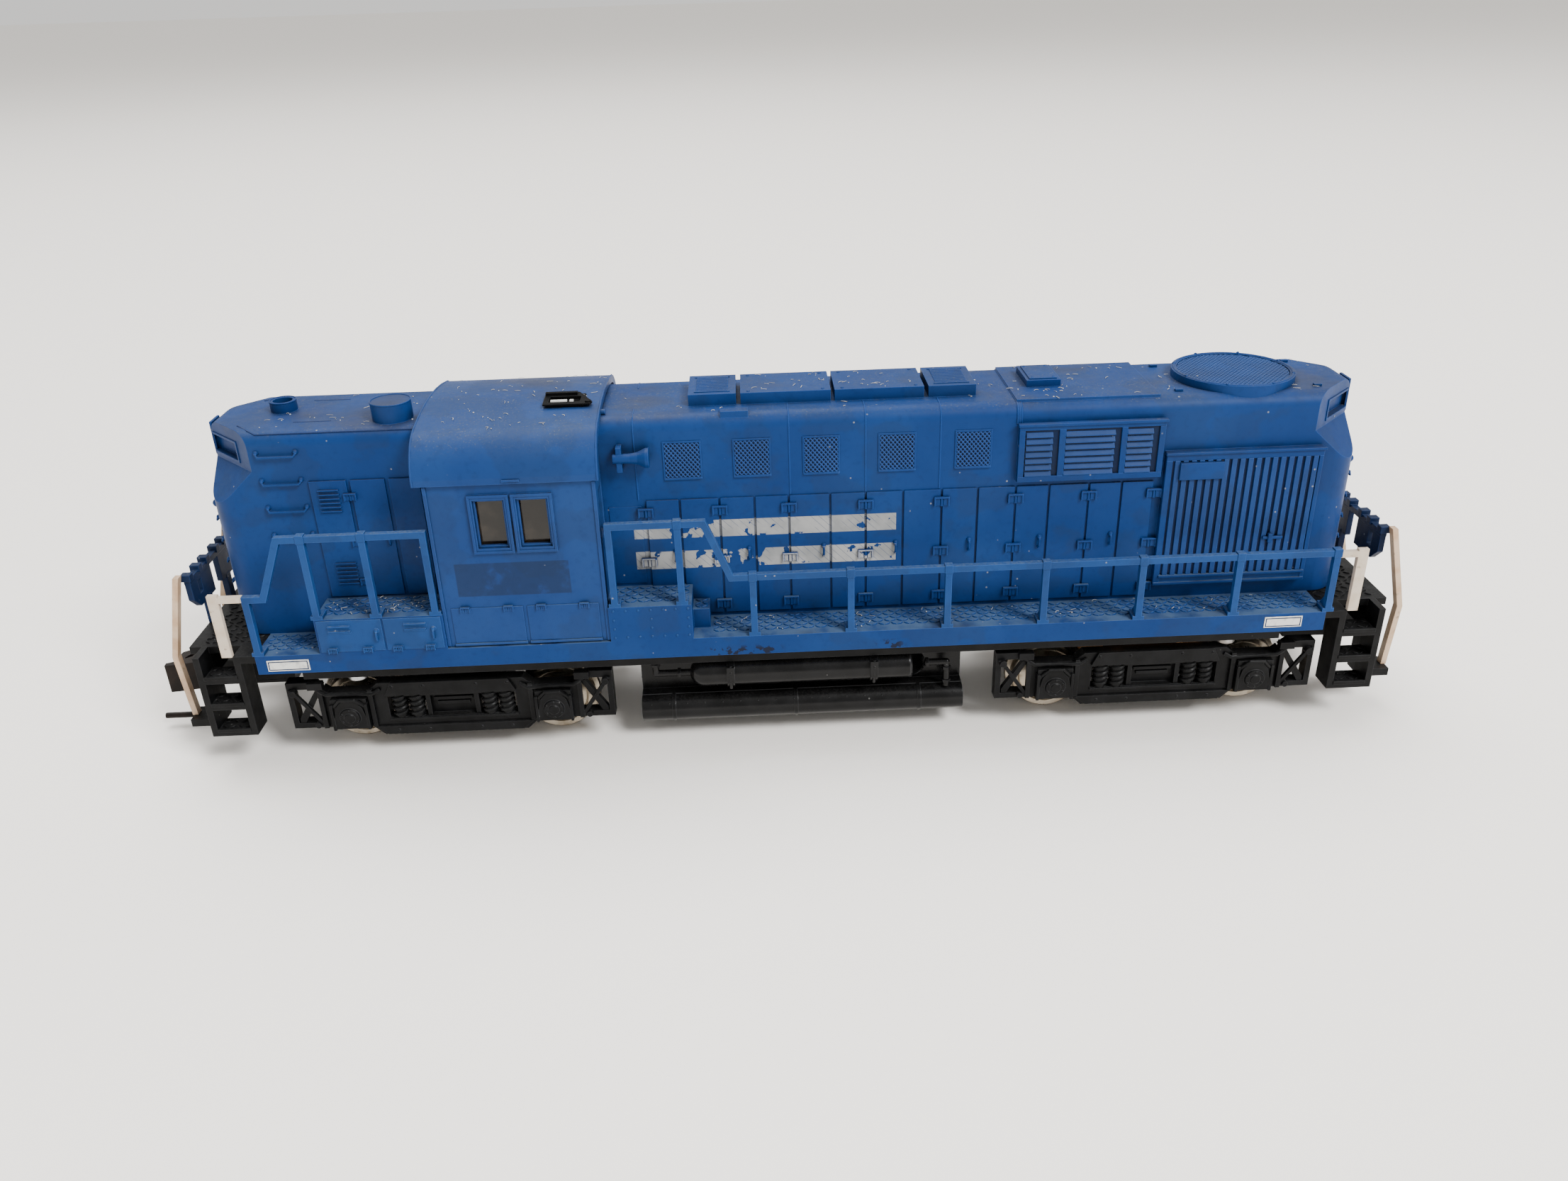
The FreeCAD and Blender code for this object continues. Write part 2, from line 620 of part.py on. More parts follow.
def make_side_rails():
    """Long side rails with the rise beside the cab, and the rails of the short hood."""
    edge = "sill_width / 2"
    rails = []
    for side in (-1, 1):
        depth = span(side, f"{edge} - rail_size", edge)
        parts = []
        for i in range(7):
            parts += post(side, f"last_post - {i} * post_pitch", "rail_top", "deck_top")
        parts += post(side, "-17.2", "high_rail_top", "26.6")
        parts += post(side, "cab_front + 1.1", "high_rail_top", "26.6")
        parts.append(block(("-9.6", "last_post"), depth, ("rail_top - rail_size", "rail_top")))
        parts.append(slope(depth, "-9.3", "rail_top - rail_size", "-13.5", "high_rail_top", "1.1"))
        parts.append(block(("cab_front + 1.1", "-13.2"), depth,
                           ("high_rail_top - rail_size", "high_rail_top")))
        short = []
        short += post(side, "-73.0", "high_rail_top", "26.6")
        short += post(side, "-64.0", "high_rail_top", "26.6")
        short += post(side, "cab_rear - 1.0", "high_rail_top", "26.6")
        short += post(side, "-(sill_length / 2 - 0.6)", "rail_top - 0.4", "deck_top")
        short.append(block(("-76.6", "cab_rear - 0.6"), depth,
                           ("high_rail_top - rail_size", "high_rail_top")))
        short.append(slope(depth, "-80.6", "rail_top - 1.4", "-76.3", "high_rail_top", "1.1"))
        short.append(block(("-(sill_length / 2 - 0.6)", "-80.2"), depth,
                           ("rail_top - 1.4", "rail_top - 0.4")))
        rails += [fuse(*parts), fuse(*short)]
    keep(group(*rails), "side_handrails")


def make_grabs():
    """Light-coloured grab irons over the steps and the tall rods of the pilots."""
    edge = "sill_width / 2"
    grabs = []
    rods = []
    for end in (-1, 1):
        for side in (-1, 1):
            depth = span(side, f"{edge} - 1.1", f"{edge} - 0.3")
            low = "87.3" if end > 0 else "-88.9"
            upright = block((low, f"{low} + 1.6"), depth, ("platform_top + 0.05", "grab_top"))
            limits = ("last_post + 0.55", "87.6") if end > 0 else ("-87.6", "-sill_length / 2")
            stub = block(limits, depth, ("grab_top - 1.3", "grab_top - 0.3"))
            grabs.append(fuse(upright, stub))
            across = span(side, "9.65", "10.95")
            top = f"{end} * 95.9"
            knee = f"{end} * 99.3"
            toe = f"{end} * 98.6"
            upper = slope(across, knee, "17.6", top, "rail_top + 0.2", "0.9")
            lower = slope(across, toe, "step_bottom + 0.55", knee, "17.6", "0.9")
            rods.append(fuse(upper, lower))
    keep(group(*grabs), "step_grab_irons")
    keep(group(*rods), "pilot_handrails")


def make_end_parts():
    """End railings with their drop plates, and the pilots with steps and platforms."""
    railings = []
    for end, word in ((1, "front"), (-1, "rear")):
        face = span(end, "94.5", "platform_end")
        solids = []
        for side in (-1, 1):
            plate = outline_body("YZ_Plane", [
                (f"{side} * 1.6", "25.0"),
                (f"{side} * 7.4", "25.0"),
                (f"{side} * 9.4", "26.9"),
                (f"{side} * 9.4", "30.6"),
                (f"{side} * 1.6", "30.6"),
            ], "0.9", f"{end} * 95.0")
            slot = block(span(end, "94", "96"), span(side, "5.6", "6.9"), ("26.9", "29.1"))
            leg = block(face, span(side, "3.2", "4.8"), ("platform_top", "25.4"))
            solids.append(cut(plate, slot))
            solids.append(leg)
            for y in ("1.6", "4.7", "8.4"):
                solids.append(block(span(end, "94.3", "95.8"), span(side, f"{y} - 0.1", f"{y} + 1.2"),
                                    ("30.2", "rail_top")))
        bar = block(face, ("-9.4", "9.4"), ("29.6", "30.6"))
        railings.append(fuse(*solids, bar))
        make_pilot(end, word)
    keep(group(*railings), "end_railings")


def make_pilot(end, word):
    """Black moulding at one end: platform, corner steps and pilot."""
    deck = ("platform_top - 1.2", "platform_top")
    solids = [block(span(end, "sill_length / 2 + 0.05", "platform_end"), ("-13.2", "13.2"), deck)]
    solids.append(block(span(end, "sill_length / 2 + 0.05", "step_inner + 0.5"), ("-17.0", "17.0"), deck))
    solids.append(block(span(end, "93.4", "94.6"), ("-13.2", "13.2"), ("14.2", "platform_top")))
    solids.append(block(span(end, "78.5", "94.0"), ("-3.4", "3.4"), ("12.3", "14.8")))
    solids.append(block(span(end, "84.3", "94.0"), ("-3.4", "3.4"), ("14.7", "platform_top - 1")))
    for side in (-1, 1):
        across = span(side, "13.2", "17.0")
        inner_across = span(side, "12.9", "17.0")
        plates = ("step_bottom", "platform_top")
        solids.append(block(span(end, "step_inner - 0.5", "step_inner + 0.5"), inner_across, plates))
        solids.append(block(span(end, "step_outer - 0.5", "step_outer + 0.5"), inner_across, plates))
        for i in range(3):
            tread = f"step_bottom + {i} * step_rise"
            solids.append(block(span(end, "step_inner", "step_outer"), across, (tread, f"{tread} + 1")))
        solids.append(block(span(end, "93.4", "94.6"), span(side, "9.4", "13.2"),
                            ("step_bottom", "14.4")))
        solids.append(block(span(end, "94.0", "98.9"), span(side, "8.2", "12.4"),
                            ("step_bottom - 0.8", "step_bottom + 0.5")))
    keep(fuse(*solids), f"{word}_pilot_and_steps")


# ------------------------------------------------------------ chassis and tank

def make_chassis():
    """Chassis plate, ballast, fuel tank, air reservoirs and the screws that hold the body."""
    level = ("underframe_bottom", "underframe_top")
    plate = block(("-78", "78"), ("-15.2", "15.2"), level)
    turntable = rod("z", "turntable_radius + 0.1", ("front_truck", "0", "underframe_bottom - 1"), "5")
    pivot = rod("z", "1.5", ("rear_truck", "0", "underframe_bottom - 1"), "5")
    holes = [turntable, pivot]
    for x in ("-70", "70"):
        for side in (-1, 1):
            holes.append(rod("z", "0.95", (x, f"{side} * 13.2", "underframe_bottom - 1"), "4"))
    boss = cut(rod("z", "4", ("rear_truck", "0", "underframe_top - 0.1"), "2.1"),
               rod("z", "1.5", ("rear_truck", "0", "underframe_bottom"), "6"))
    keep(fuse(cut(plate, *holes), boss), "underframe")
    middle_weight = block(("-24", "41"), ("-8.0", "8.0"), ("underframe_top", "37.5"))
    rear_weight = block(("-77.9", "-61.2"), ("-7.6", "7.6"), ("underframe_top", "40"))
    keep(group(middle_weight, rear_weight), "ballast_weights")
    screws = []
    for x in ("-70", "70"):
        for side in (-1, 1):
            y = f"{side} * 13.2"
            head = rod("z", "1.6", (x, y, "underframe_bottom - 0.9"), "0.9")
            shank = rod("z", "0.85", (x, y, "underframe_bottom - 0.1"), "4.0")
            screws.append(fuse(head, shank))
    keep(group(*screws), "body_screws")
    length = ("tank_rear", "tank_front")
    core = block(length, ("-10.6", "10.6"), ("tank_bottom + 0.6", "underframe_bottom"))
    keel = block(length, ("-12.5", "12.5"), ("tank_bottom", "7.9"))
    solids = [core, keel]
    for side in (-1, 1):
        axis = (f"{side} * 12.4", "tank_bottom + 2.3")
        solids.append(rod("x", "2.3", ("tank_rear", *axis), "tank_front - tank_rear"))
        for x in ("tank_rear + 4.9", "-0.3", "tank_front - 7.5"):
            solids.append(rod("x", "2.42", (x, *axis), "0.6"))
    keep(fuse(*solids), "fuel_tank")
    reservoirs = []
    for side in (-1, 1):
        axis = (f"{side} * 13.4", "12.3")
        parts = [rod("x", "reservoir_radius", ("-14.7", *axis), "33.5")]
        for x in ("-14.7", "18.8"):
            parts.append(ball("reservoir_radius", (x, axis[0], axis[1])))
        for x in ("-11.0", "12.0"):
            strap = rod("x", "reservoir_radius + 0.3", (x, *axis), "1.2")
            hanger = block((x, f"{x} + 1.2"), span(side, "12.6", "14.0"), ("14.5", "underframe_bottom"))
            lug = block((x, f"{x} + 1.2"), span(side, "15.6", "16.4"), ("11.6", "14.4"))
            parts += [strap, hanger, lug]
        for x, start, length, foot, tall in (("-22.5", "-22.5", "7.0", axis[1], "2.7"),
                                             ("24.6", "19.6", "5.0", "7.9", "4.4")):
            parts.append(rod("z", "0.55", (x, axis[0], foot), tall))
            parts.append(rod("x", "0.55", (start, *axis), length))
            parts.append(ball("0.55", (x, *axis)))
        reservoirs.append(fuse(*parts))
    keep(group(*reservoirs), "air_reservoirs")
    lead = [block(("-50", "44"), (y, f"{y} + 0.9"), ("underframe_top", "underframe_top + 0.9"))
            for y in ("-10.4", "9.5")]
    keep(group(*lead), "pickup_leads")


# --------------------------------------------------------------------- trucks

FRAME_OUTLINE = [
    ("-26.0", "5.5"), ("-13.6", "5.5"), ("-11.6", "3.7"), ("11.6", "3.7"), ("13.6", "5.5"),
    ("26.0", "5.5"), ("26.0", "13.9"), ("22.0", "13.9"), ("19.6", "11.9"), ("13.2", "11.9"),
    ("11.6", "13.3"), ("-11.6", "13.3"), ("-13.2", "11.9"), ("-19.6", "11.9"), ("-22.0", "13.9"),
    ("-26.0", "13.9"),
]


def side_frame(truck, side):
    """Side frame moulding with spring window, end openings and journal boxes."""
    depth = "frame_outer - frame_inner"
    middle = f"{side} * (frame_outer + frame_inner) / 2"
    frame = outline_body("XZ_Plane", FRAME_OUTLINE, depth, middle)
    bind(frame, "Placement.Base.x", truck)
    across = span(side, "frame_inner - 1", "frame_outer + 1")
    holes = [block((f"{truck} - 10.3", f"{truck} + 10.3"), across, ("6.8", "10.7"))]
    boxes = [block((f"{truck} - 4.2", f"{truck} + 4.2"), span(side, "frame_inner", "frame_outer - 1.2"),
                   ("6.2", "11.2"))]
    for end in (-1, 1):
        low, high = span(end, "20.4", "25.1")
        holes.append(block((f"{truck} + {low}", f"{truck} + {high}"), across, ("6.4", "12.7")))
        x = f"{truck} + {end} * wheelbase / 2"
        boxes.append(block((f"{x} - 2.85", f"{x} + 2.85"), span(side, "frame_inner", "frame_outer + 0.9"),
                           ("5.6", "11.0")))
        for i in range(2):
            spring = f"{truck} + {end} * (5.9 + {i} * 2.7)"
            y = f"{side} * (frame_inner + 1.2)"
            boxes.append(rod("z", "1.1", (spring, y, "6.2"), "5.0"))
    return [frame, holes, boxes]


def journal_hole(truck, side, end):
    """Blind bearing hole for an axle end in a side frame."""
    start = "frame_inner - 1" if side > 0 else "-(frame_inner + 1.1)"
    return rod("y", "0.55", (f"{truck} + {end} * wheelbase / 2", start, "flange_radius"), "2.1")


def make_side_frames():
    """Both side frames of both trucks."""
    for truck, word, drilled in (("front_truck", "power_truck", False), ("rear_truck", "rear_truck", True)):
        pair = []
        for side in (-1, 1):
            frame, holes, boxes = side_frame(truck, side)
            solid = fuse(cut(frame, *holes), *boxes)
            if drilled:
                solid = cut(solid, *[journal_hole(truck, side, end) for end in (-1, 1)])
            pair.append(solid)
        keep(group(*pair), f"{word}_side_frames")


def wheel(x, side):
    """Wheel with flange, tread and dished web, bored for the axle."""
    back = "wheel_back"
    face = "wheel_face"
    profile = [
        (back, "axle_radius"), (back, "flange_radius - 0.3"), (f"{back} + 0.25", "flange_radius"),
        (f"{back} + 0.75", "flange_radius - 0.15"), (f"{back} + 1.05", "tread_radius + 0.05"),
        (f"{face} - 0.1", "tread_radius - 0.05"), (face, "tread_radius - 0.2"),
        (face, "tread_radius - 1.0"), (f"{face} - 0.7", "tread_radius - 1.4"),
        (f"{face} - 0.7", "axle_radius + 1.1"), (face, "axle_radius + 0.8"), (face, "axle_radius"),
    ]
    if side < 0:
        profile = [(minus(along), radius) for along, radius in profile]
    return turned(profile, x, "0", "flange_radius")


def make_wheelsets():
    """Axles and wheels; the power truck's axles also carry gears."""
    places = [("front_truck", 1, "front_drive"), ("front_truck", -1, "rear_drive"),
              ("rear_truck", 1, "front_trailing"), ("rear_truck", -1, "rear_trailing")]
    for truck, end, word in places:
        x = f"{truck} + {end} * wheelbase / 2"
        keep(group(*both_sides(lambda side: wheel(x, side))), f"{word}_wheels")
        middle = rod("y", "axle_radius", (x, "-wheel_face - 0.2", "flange_radius"), "2 * wheel_face + 0.4")
        if truck == "rear_truck":
            tips = rod("y", "0.5", (x, "-(frame_inner + 0.9)", "flange_radius"),
                       "2 * (frame_inner + 0.9)")
            neck = rod("y", "axle_radius", (x, "-(frame_inner - 0.6)", "flange_radius"),
                       "2 * (frame_inner - 0.6)")
            middle = fuse(neck, tips)
        keep(middle, f"{word}_axle")


def tooth_phase(own, other, seen_from_other, other_phase):
    """Phase that sets a gear in mesh with another one.

    seen_from_other is the direction from the other gear's centre to this one's.
    """
    other_step = 360 / SIZE[other]
    own_step = 360 / SIZE[own]
    lead = (seen_from_other - other_phase) % other_step / other_step
    return seen_from_other + 180 + (lead + 0.5) * own_step


def set_gear(body, x, y, z, phase):
    """Turn a gear so that a tooth points at the phase angle from +X to +Z, and place it."""
    turn = FreeCAD.Rotation(FreeCAD.Vector(0, 1, 0), -phase)
    body.Placement = FreeCAD.Placement(FreeCAD.Vector(), turn)
    place(body, x, y, z)
    return body


def make_gear_train():
    """Reduction gear, two idlers and two axle gears, all in mesh at rest."""
    axle_z = SIZE["flange_radius"]
    cluster_z = SIZE["cluster_height"]
    half_base = SIZE["wheelbase"] / 2
    near = pitch_radius("axle_teeth") + pitch_radius("idler_teeth")
    far = pitch_radius("small_teeth") + pitch_radius("idler_teeth")
    rise = cluster_z - axle_z
    reach = math.hypot(half_base, rise)
    along = (near ** 2 - far ** 2 + reach ** 2) / (2 * reach)
    aside = math.sqrt(near ** 2 - along ** 2)
    idler_x = half_base - along * half_base / reach + aside * rise / reach
    idler_z = axle_z + along * rise / reach + aside * half_base / reach
    plane_low = "gear_wall"
    plane_high = "gear_wall + 1.7"
    small = gear("small_teeth", "pin_radius + running_gap", "1.7")
    large = gear("large_teeth", "pin_radius + running_gap", "1.2")
    pinion_above = 90
    large_phase = 90
    small_phase = 90
    set_gear(small, "front_truck", plane_low, "cluster_height", small_phase)
    set_gear(large, "front_truck", plane_high, "cluster_height", large_phase)
    keep(fuse(small, large), "reduction_gear")
    motor_z = "cluster_height + gear_module * (large_teeth + pinion_teeth) / 2"
    pinion = gear("pinion_teeth", "shaft_radius", "1.2")
    phase = tooth_phase("pinion_teeth", "large_teeth", pinion_above, large_phase)
    keep(set_gear(pinion, "front_truck", plane_high, motor_z, phase), "motor_pinion")
    pins = [rod("y", "pin_radius", ("front_truck", "gear_wall - 1.4", "cluster_height"), "4.9")]
    for end, word in ((1, "front"), (-1, "rear")):
        x = f"front_truck + {end} * {idler_x:.4f}"
        z = f"{idler_z:.4f}"
        toward = math.degrees(math.atan2(idler_z - cluster_z, end * idler_x))
        idler_phase = tooth_phase("idler_teeth", "small_teeth", toward, small_phase)
        idler = gear("idler_teeth", "pin_radius + running_gap", "1.5")
        keep(set_gear(idler, x, plane_low, z, idler_phase), f"{word}_idler_gear")
        onward = math.degrees(math.atan2(axle_z - idler_z, end * (half_base - idler_x)))
        axle_phase = tooth_phase("axle_teeth", "idler_teeth", onward, idler_phase)
        driven = gear("axle_teeth", "axle_radius", "1.5")
        axle_x = f"front_truck + {end} * wheelbase / 2"
        keep(set_gear(driven, axle_x, plane_low, "flange_radius", axle_phase), f"{word}_axle_gear")
        pins.append(rod("y", "pin_radius", (x, "gear_wall - 1.4", z), "3.0"))
    keep(group(*pins), "gear_pins")
    return idler_x, idler_z


def around_truck(x, low, high):
    """Limits along X given from a truck's pivot."""
    return (f"{x} + ({low})", f"{x} + ({high})")


def turntable_half(side):
    """Half of the ring that carries the chassis on the power truck."""
    centre = ("front_truck", "0")
    neck = rod("z", "turntable_radius", (*centre, "underframe_bottom"), "2.5")
    rim = rod("z", "turntable_radius + 1.1", (*centre, "underframe_top + 0.1"), "0.8")
    opening = rod("z", "turntable_radius - 2.2", (*centre, "underframe_bottom - 1"), "6")
    beyond = span(side, "-20", "7.3") if side > 0 else ("-7.3", "20")
    rest = block(around_truck("front_truck", -20, 20), beyond, ("underframe_bottom - 2", "20"))
    ring = cut(fuse(neck, rim), rest, opening)
    half_width = around_truck("front_truck", -4.5, 4.5)
    web = block(half_width, span(side, "7.3", "11.8"), ("14.4", "underframe_bottom + 1"))
    column = block(half_width, span(side, "7.3", "9.0"), ("9.0", "14.6"))
    return fuse(ring, web, column)


def make_power_truck(idler_x, idler_z):
    """Gear block, gear cover and the contacts of the power truck."""
    truck = "front_truck"
    wall = ("gear_wall - 1.4", "gear_wall - 0.1")
    base = block(around_truck(truck, -20.4, 20.4), ("-5.2", "gear_wall - 1.3"), ("3.2", "11.4"))
    low_wall = block(around_truck(truck, -20.4, 20.4), wall, ("3.2", "11.4"))
    mid_wall = block(around_truck(truck, -12, 12), wall, ("11.3", "14.6"))
    high_wall = block(around_truck(truck, -9.2, 9.2), wall, ("14.5", "29.0"))
    arm = block(around_truck(truck, -4.5, 4.5), ("-frame_inner", "-5.1"), ("8.0", "11.0"))
    pad = block(around_truck(truck, -3, 3), ("-11.6", "-10.0"), ("10.9", "13.3"))
    solids = [base, low_wall, mid_wall, high_wall, arm, pad, turntable_half(-1)]
    tools = []
    for end in (-1, 1):
        x = f"{truck} + {end} * wheelbase / 2"
        tools.append(rod("y", "axle_radius + running_gap", (x, "-8", "flange_radius"), "14"))
        x = f"{truck} + {end} * {idler_x:.4f}"
        tools.append(rod("y", "pin_radius", (x, "gear_wall - 1.4", f"{idler_z:.4f}"), "3"))
        for height, x_post in (("19.5", 8.3), ("4.4", 11.0)):
            place_post = (f"{truck} + {end} * {x_post}", "gear_wall - 0.2", height)
            solids.append(rod("y", "0.7", place_post, "3.3"))
    tools.append(rod("y", "pin_radius", (truck, "gear_wall - 1.4", "cluster_height"), "5"))
    motor_z = "cluster_height + gear_module * (large_teeth + pinion_teeth) / 2"
    tools.append(rod("y", "1.6", (truck, "gear_wall - 2", motor_z), "3"))
    keep(cut(fuse(*solids), *tools), "power_truck_gear_block")
    plate = block(around_truck(truck, -13.2, 13.2), ("6.3", "6.9"), ("3.6", "14.6"))
    tab = block(around_truck(truck, -9, 9), ("6.3", "6.9"), ("14.5", "24.2"))
    far_arm = block(around_truck(truck, -4.5, 4.5), ("6.8", "frame_inner"), ("8.0", "11.0"))
    far_half = turntable_half(1)
    link = block(around_truck(truck, -4.5, 4.5), ("6.8", "7.4"), ("9.0", "15.0"))
    pin_hole = rod("y", "pin_radius", (truck, "6", "cluster_height"), "0.6")
    keep(cut(fuse(plate, tab, far_arm, link, far_half), pin_hole), "power_truck_gear_cover")
    contacts = []
    for end in (-1, 1):
        limits = span(end, "6.2", "20.0")
        strip = block(around_truck(truck, *limits), ("-6.5", "-6.2"), ("9.0", "10.6"))
        lug = block(around_truck(truck, *span(end, "6.4", "8.4")), ("-6.3", "-5.2"), ("9.2", "10.2"))
        contacts.append(fuse(strip, lug))
    tag = block(around_truck(truck, -8.4, 8.4), ("-12.0", "-9.6"), ("13.35", "13.65"))
    eyelet = rod("z", "1.5", (f"{truck} - 5.5", "-10.8", "13.6"), "0.7")
    hole = rod("z", "0.7", (f"{truck} - 5.5", "-10.8", "13"), "2")
    contacts.append(cut(fuse(tag, eyelet), hole))
    keep(group(*contacts), "power_truck_contacts")


def make_motor():
    """Motor of the power truck: its axis lies across the locomotive."""
    truck = "front_truck"
    middle = "cluster_height + gear_module * (large_teeth + pinion_teeth) / 2"
    shell = cut(rod("y", "motor_radius", (truck, "-6.6", middle), "8.25"),
                rod("y", "motor_radius - 0.6", (truck, "-5.8", middle), "9"),
                rod("y", "shaft_radius + 0.6", (truck, "-7", middle), "2"))
    keep(shell, "motor_housing")
    ring = cut(rod("y", "motor_radius - 0.6", (truck, "-5.2", middle), "4.4"),
               rod("y", "6.1", (truck, "-6", middle), "6"),
               block(around_truck(truck, -10, 10), ("-6", "0"),
                     (f"{middle} - 2.2", f"{middle} + 2.2")))
    keep(ring, "motor_magnets")
    core = rod("y", "5.8", (truck, "-4.6", middle), "3.2")
    bore = rod("y", "shaft_radius", (truck, "-5", middle), "4")
    slots = []
    coils = []
    for i in range(5):
        angle = math.radians(72 * i + 36)
        x = f"{truck} + {3.9 * math.cos(angle):.4f}"
        z = f"{middle} + {3.9 * math.sin(angle):.4f}"
        slots.append(rod("y", "1.3", (x, "-5", z), "4"))
        coils.append(rod("y", "1.25", (x, "-5.0", z), "4.0"))
    keep(cut(core, bore, *slots), "armature_core")
    keep(group(*coils), "armature_windings")
    keep(rod("y", "shaft_radius", (truck, "-7.0", middle), "13.1"), "motor_shaft")
    keep(cut(rod("y", "2.2", (truck, "-0.8", middle), "1.6"),
             rod("y", "shaft_radius", (truck, "-1", middle), "2")), "commutator")
    bushes = []
    for start, length, radius in (("-6.75", "0.9", "shaft_radius + 0.6"),
                                  ("gear_wall - 1.4", "1.25", "1.6")):
        bushes.append(cut(rod("y", radius, (truck, start, middle), length),
                          rod("y", "shaft_radius + running_gap", (truck, "-8", middle), "12")))
    keep(group(*bushes), "shaft_bushes")
    brushes = []
    springs = []
    for way in (-1, 1):
        limits = ("2.25", "4.6") if way > 0 else ("-4.6", "-2.25")
        brushes.append(block(around_truck(truck, *limits), ("-0.6", "0.6"),
                             (f"{middle} - 0.7", f"{middle} + 0.7")))
        start = "4.6" if way > 0 else "-7.8"
        springs.append(rod("x", "0.6", (f"{truck} + ({start})", "0", middle), "3.2"))
    keep(group(*brushes), "motor_brushes")
    keep(group(*springs), "brush_springs")


def make_rear_truck():
    """Bolster, pivot screw and contacts of the trailing truck."""
    truck = "rear_truck"
    beam = block(around_truck(truck, -8.4, 8.4), ("-frame_inner", "frame_inner"), ("8.6", "12.4"))
    pad = rod("z", "5", (truck, "0", "12.3"), "underframe_bottom - 0.1 - 12.3")
    hole = rod("z", "1.5 + running_gap", (truck, "0", "8"), "9")
    keep(cut(fuse(beam, pad), hole), "rear_truck_bolster")
    shank = rod("z", "1.5", (truck, "0", "8.4"), "10.8")
    head = rod("z", "2.8", (truck, "0", "7.3"), "1.2")
    slot = block(around_truck(truck, -3, 3), ("-0.4", "0.4"), ("7", "7.8"))
    keep(cut(fuse(shank, head), slot), "rear_truck_pivot_screw")
    strips = []
    for side in (-1, 1):
        strips.append(block(around_truck(truck, -19, 19), span(side, "5.6", "6.7"), ("8.15", "8.6")))
    keep(group(*strips), "rear_truck_contacts")


# ------------------------------------------------------------------- couplers

def coupler_box(end):
    """Coupler box at one end, open below and at its mouth, with the pivot post inside."""
    outer = block(span(end, "84.5", "97.2"), ("-3.0", "3.0"), ("coupler_height - 1.55", "12.3"))
    inside = block(span(end, "85.3", "98"), ("-2.4", "2.4"), ("coupler_height - 2", "coupler_height + 1.6"))
    post = rod("z", "1.0", (f"{end} * 88.5", "0", "coupler_height - 1.5"), "3.2")
    return fuse(cut(outer, inside), post)


def make_couplers():
    """Rear knuckle coupler in its box, and the empty box at the front."""
    keep(group(*both_sides(coupler_box)), "coupler_boxes")
    keep(block(span(-1, "84.5", "97.2"), ("-3.0", "3.0"),
               ("coupler_height - 2.15", "coupler_height - 1.6")), "rear_coupler_lid")
    low = "coupler_height - 1.2"
    tail = fuse(block(span(-1, "88.5", "98.6"), ("-1.15", "1.15"), (low, "coupler_height + 1.2")),
                rod("z", "1.9", ("-88.5", "0", low), "2.4"))
    tail = cut(tail, rod("z", "1.0 + running_gap", ("-88.5", "0", "7"), "6"))
    head = outline_body("XY_Plane", [
        ("-98.2", "-1.2"), ("-99.4", "-3.1"), ("-103.0", "-3.9"), ("-105.1", "-4.2"),
        ("-105.2", "-3.3"), ("-103.4", "-2.5"), ("-101.6", "-1.2"), ("-101.2", "1.2"),
        ("-103.0", "2.1"), ("-103.0", "3.7"), ("-99.6", "3.4"), ("-98.2", "1.2"),
    ], "5.1", "coupler_height")
    mouth = block(("-103.6", "-100.7"), ("1.3", "4.5"), ("coupler_height - 1.6", "coupler_height + 1.6"))
    pin_hole = rod("z", "0.45", ("-102.0", "2.85", "6"), "8")
    trip_hole = rod("z", "0.5", ("-102.6", "-2.9", "6.5"), "2.5")
    keep(cut(fuse(tail, cut(head, mouth)), pin_hole, trip_hole), "rear_coupler")
    knuckle = outline_body("XY_Plane", [
        ("-101.2", "2.0"), ("-103.2", "1.8"), ("-103.8", "0.6"), ("-103.4", "-0.7"),
        ("-104.4", "-1.0"), ("-105.2", "0.4"), ("-104.9", "2.6"), ("-103.2", "3.7"),
        ("-101.4", "3.7"),
    ], "2.8", "coupler_height")
    hole = rod("z", "0.45 + running_gap", ("-102.0", "2.85", "6"), "8")
    keep(cut(knuckle, hole), "rear_coupler_knuckle")
    keep(rod("z", "0.45", ("-102.0", "2.85", "coupler_height - 2.7"), "5.4"), "knuckle_pin")
    drop = rod("z", "0.5", ("-102.6", "-2.9", "2.0"), "7.0")
    bend = ball("0.5", ("-102.6", "-2.9", "2.0"))
    foot = rod("x", "0.5", ("-107.8", "-2.9", "2.0"), "5.2")
    keep(fuse(drop, bend, foot), "coupler_trip_pin")
    wires = []
    for side in (-1, 1):
        wire = outline_body("XY_Plane", [
            ("90.0", f"{side} * 1.9"), ("90.0", f"{side} * 2.3"),
            ("99.6", f"{side} * 0.4"), ("99.6", f"{side} * -0.1"),
        ], "0.5", "coupler_height")
        wires.append(wire)
    keep(fuse(*wires), "front_coupler_spring")


# ----------------------------------------------------------------- the object

make_body_shell()
make_cab()
make_cab_glazing()
make_roof_details()
make_side_rails()
make_grabs()
make_end_parts()
make_chassis()
make_side_frames()
make_wheelsets()
make_power_truck(*make_gear_train())
make_motor()
make_rear_truck()
make_couplers()
doc.recompute()

problems = []
for thing in doc.Objects:
    if "Invalid" in thing.State or "Error" in thing.State:
        problems.append(f"{thing.Name} ({thing.Label}): {thing.State}")
for name, thing in nodes.items():
    if thing.Shape.isNull() or not thing.Shape.isValid() or not thing.Shape.Solids:
        problems.append(f"{name}: bad shape")
if problems:
    raise RuntimeError("\n".join(problems))

